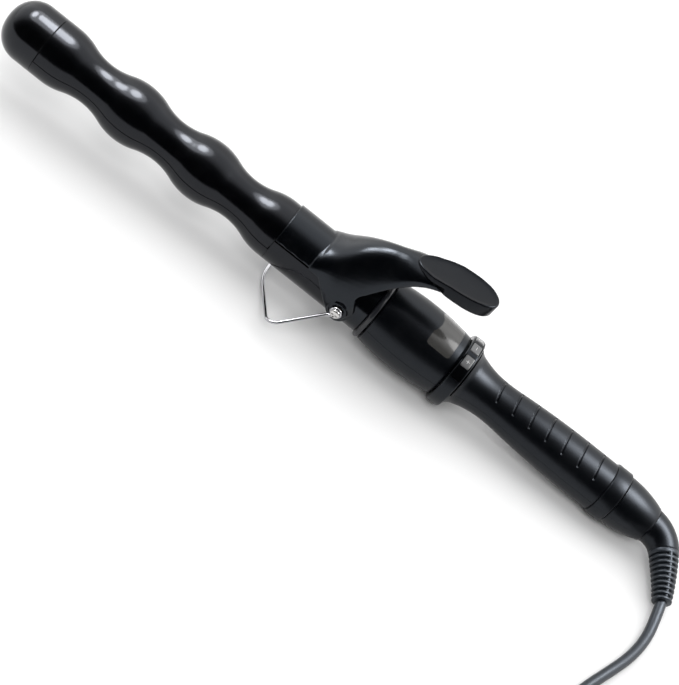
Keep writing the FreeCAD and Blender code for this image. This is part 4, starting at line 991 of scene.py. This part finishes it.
def make_elbow():
    bm = bmesh.new()
    path, radii = [Vector((ELBOW_START, 0, 0)), Vector((ELBOW_START + 0.05, 0, 0))], [9.0, 9.2]
    for step in range(1, 25):
        share = step / 24
        path.append(elbow_point(BEND * share))
        radii.append(9.3 - 1.6 * share)
    path.append(relief_point(0.012))
    radii.append(7.5)
    tube(bm, path, radii, sides=72)
    lathe(bm, [(378.4, 1.6), (378.4, 4.0), (388.0, 4.0), (388.0, 7.0), (390.5, 7.0), (390.5, 5.0),
               (399.2, 5.0), (399.2, 1.6)], steps=64)
    finish_piece("elbow_skin", bm, SATIN, "swivel", ("swivel_elbow",), angle=44.0)


def relief_radius(share):
    return 7.7 - 2.8 * share


def make_relief():
    """A soft sleeve of ten ribs on a thinner core, tied by a spine on each side."""
    bm = bmesh.new()
    shares = [k / 40 for k in range(41)]
    tube(bm, [relief_point(s) for s in shares], [relief_radius(s) - 1.5 for s in shares], sides=48)
    for rib in range(RIBS):
        first, last = rib / RIBS + (0.042 if rib else 0.0), (rib + 1) / RIBS
        radius = relief_radius(rib / RIBS) - 0.15
        marks = (0.0, 0.12, 0.3, 0.7, 0.88, 1.0)
        tube(bm, [relief_point(first + (last - first) * m) for m in marks],
             [radius - 0.35, radius - 0.08, radius, radius, radius - 0.08, radius - 0.35], sides=64)
    way = relief_way(0.5)
    across = way.cross(SIDEWAYS).normalized()
    for side in (-1, 1):
        path, radii = [], []
        for k in range(25):
            share = 0.02 + 0.95 * k / 24
            path.append(relief_point(share) + across * side * (relief_radius(share) - 1.15))
            radii.append(1.25 - 0.35 * share)
        tube(bm, path, radii, sides=16)
    finish_piece("relief_sleeve", bm, RUBBER, "swivel", ("strain_relief",), angle=40.0)


make_tip()
make_barrel()
make_clip()
make_collar()
make_pivot_screws()
make_stand()
make_arm()
make_paddle()
make_housing()
make_ring()
make_grip()
make_elbow()
make_relief()


# ---------------------------------------------------------------- stage and light

def make_stage():
    floor = bpy.data.meshes.new("floor")
    size = 6.0
    corners = [(-size, -size, 0), (size, -size, 0), (size, size, 0), (-size, size, 0)]
    floor.from_pydata(corners, [], [(0, 1, 2, 3)])
    thing = bpy.data.objects.new("floor", floor)
    thing.location.z = -0.0003
    bpy.context.scene.collection.objects.link(thing)
    material = bpy.data.materials.new("pale_floor")
    material.use_nodes = True
    shader = shader_of(material)
    shader.inputs["Base Color"].default_value = (0.9, 0.9, 0.9, 1)
    shader.inputs["Roughness"].default_value = 0.9
    shader.inputs["Specular IOR Level"].default_value = 0.1
    floor.materials.append(material)


def soft_light(name, place, target, width, height, power):
    data = bpy.data.lights.new(name, "AREA")
    data.shape = "RECTANGLE"
    data.size, data.size_y = width, height
    data.energy = power
    light = bpy.data.objects.new(name, data)
    bpy.context.scene.collection.objects.link(light)
    light.location = place
    light.rotation_mode = "QUATERNION"
    light.rotation_quaternion = (Vector(target) - Vector(place)).to_track_quat("-Z", "Y")
    return light


def make_sky():
    """A broad soft glow from the far side and overhead, falling to black on the near side."""
    sky = bpy.data.worlds.new("studio")
    sky.use_nodes = True
    nodes, links = sky.node_tree.nodes, sky.node_tree.links
    place = nodes.new("ShaderNodeTexCoord")
    parts = nodes.new("ShaderNodeSeparateXYZ")
    limits = nodes.new("ShaderNodeMapRange")
    limits.inputs["From Min"].default_value, limits.inputs["From Max"].default_value = -1.0, 1.0
    ramp = nodes.new("ShaderNodeValToRGB")
    stops = [(-1.0, 0.004), (-0.62, 0.004), (-0.32, 0.06), (-0.12, 0.42), (0.12, 0.75), (0.7, 0.9),
             (0.95, 0.45)]
    ramp.color_ramp.elements[0].position = (stops[0][0] + 1) / 2
    ramp.color_ramp.elements[0].color = (*[stops[0][1]] * 3, 1)
    ramp.color_ramp.elements[1].position = (stops[-1][0] + 1) / 2
    ramp.color_ramp.elements[1].color = (*[stops[-1][1]] * 3, 1)
    for where, glow in stops[1:-1]:
        ramp.color_ramp.elements.new((where + 1) / 2).color = (glow, glow, glow, 1)
    links.new(place.outputs["Generated"], parts.inputs["Vector"])
    links.new(parts.outputs["Y"], limits.inputs["Value"])
    links.new(limits.outputs["Result"], ramp.inputs["Fac"])
    links.new(ramp.outputs["Color"], nodes["Background"].inputs["Color"])
    nodes["Background"].inputs["Strength"].default_value = 2.2
    bpy.context.scene.world = sky


bpy.context.scene.view_settings.view_transform = "Standard"
make_stage()
make_sky()
# These shine only in reflections; the floor wash shows everywhere but in them.
for name, station, height, length, width, power in (
    ("tip_glow", -0.255, 0.285, 0.30, 0.24, 0.8), ("tip_glint", -0.315, 0.275, 0.09, 0.12, 0.55),
    ("mid_glint", -0.195, 0.275, 0.09, 0.12, 0.55), ("cap_glow", 0.285, 0.285, 0.30, 0.25, 0.9),
    ("cap_glint", 0.285, 0.275, 0.16, 0.13, 0.8),
):
    glint = soft_light(name, (station, 0.065, height), (station, 0.065, 0.0), length, width, power)
    glint.data.shape = "ELLIPSE"
    glint.visible_diffuse = glint.visible_camera = False
floor_wash = soft_light("floor_wash", (0.0, -1.2, 1.7), (0, 0, 0), 1.4, 1.0, 21.0)
floor_wash.visible_glossy = False
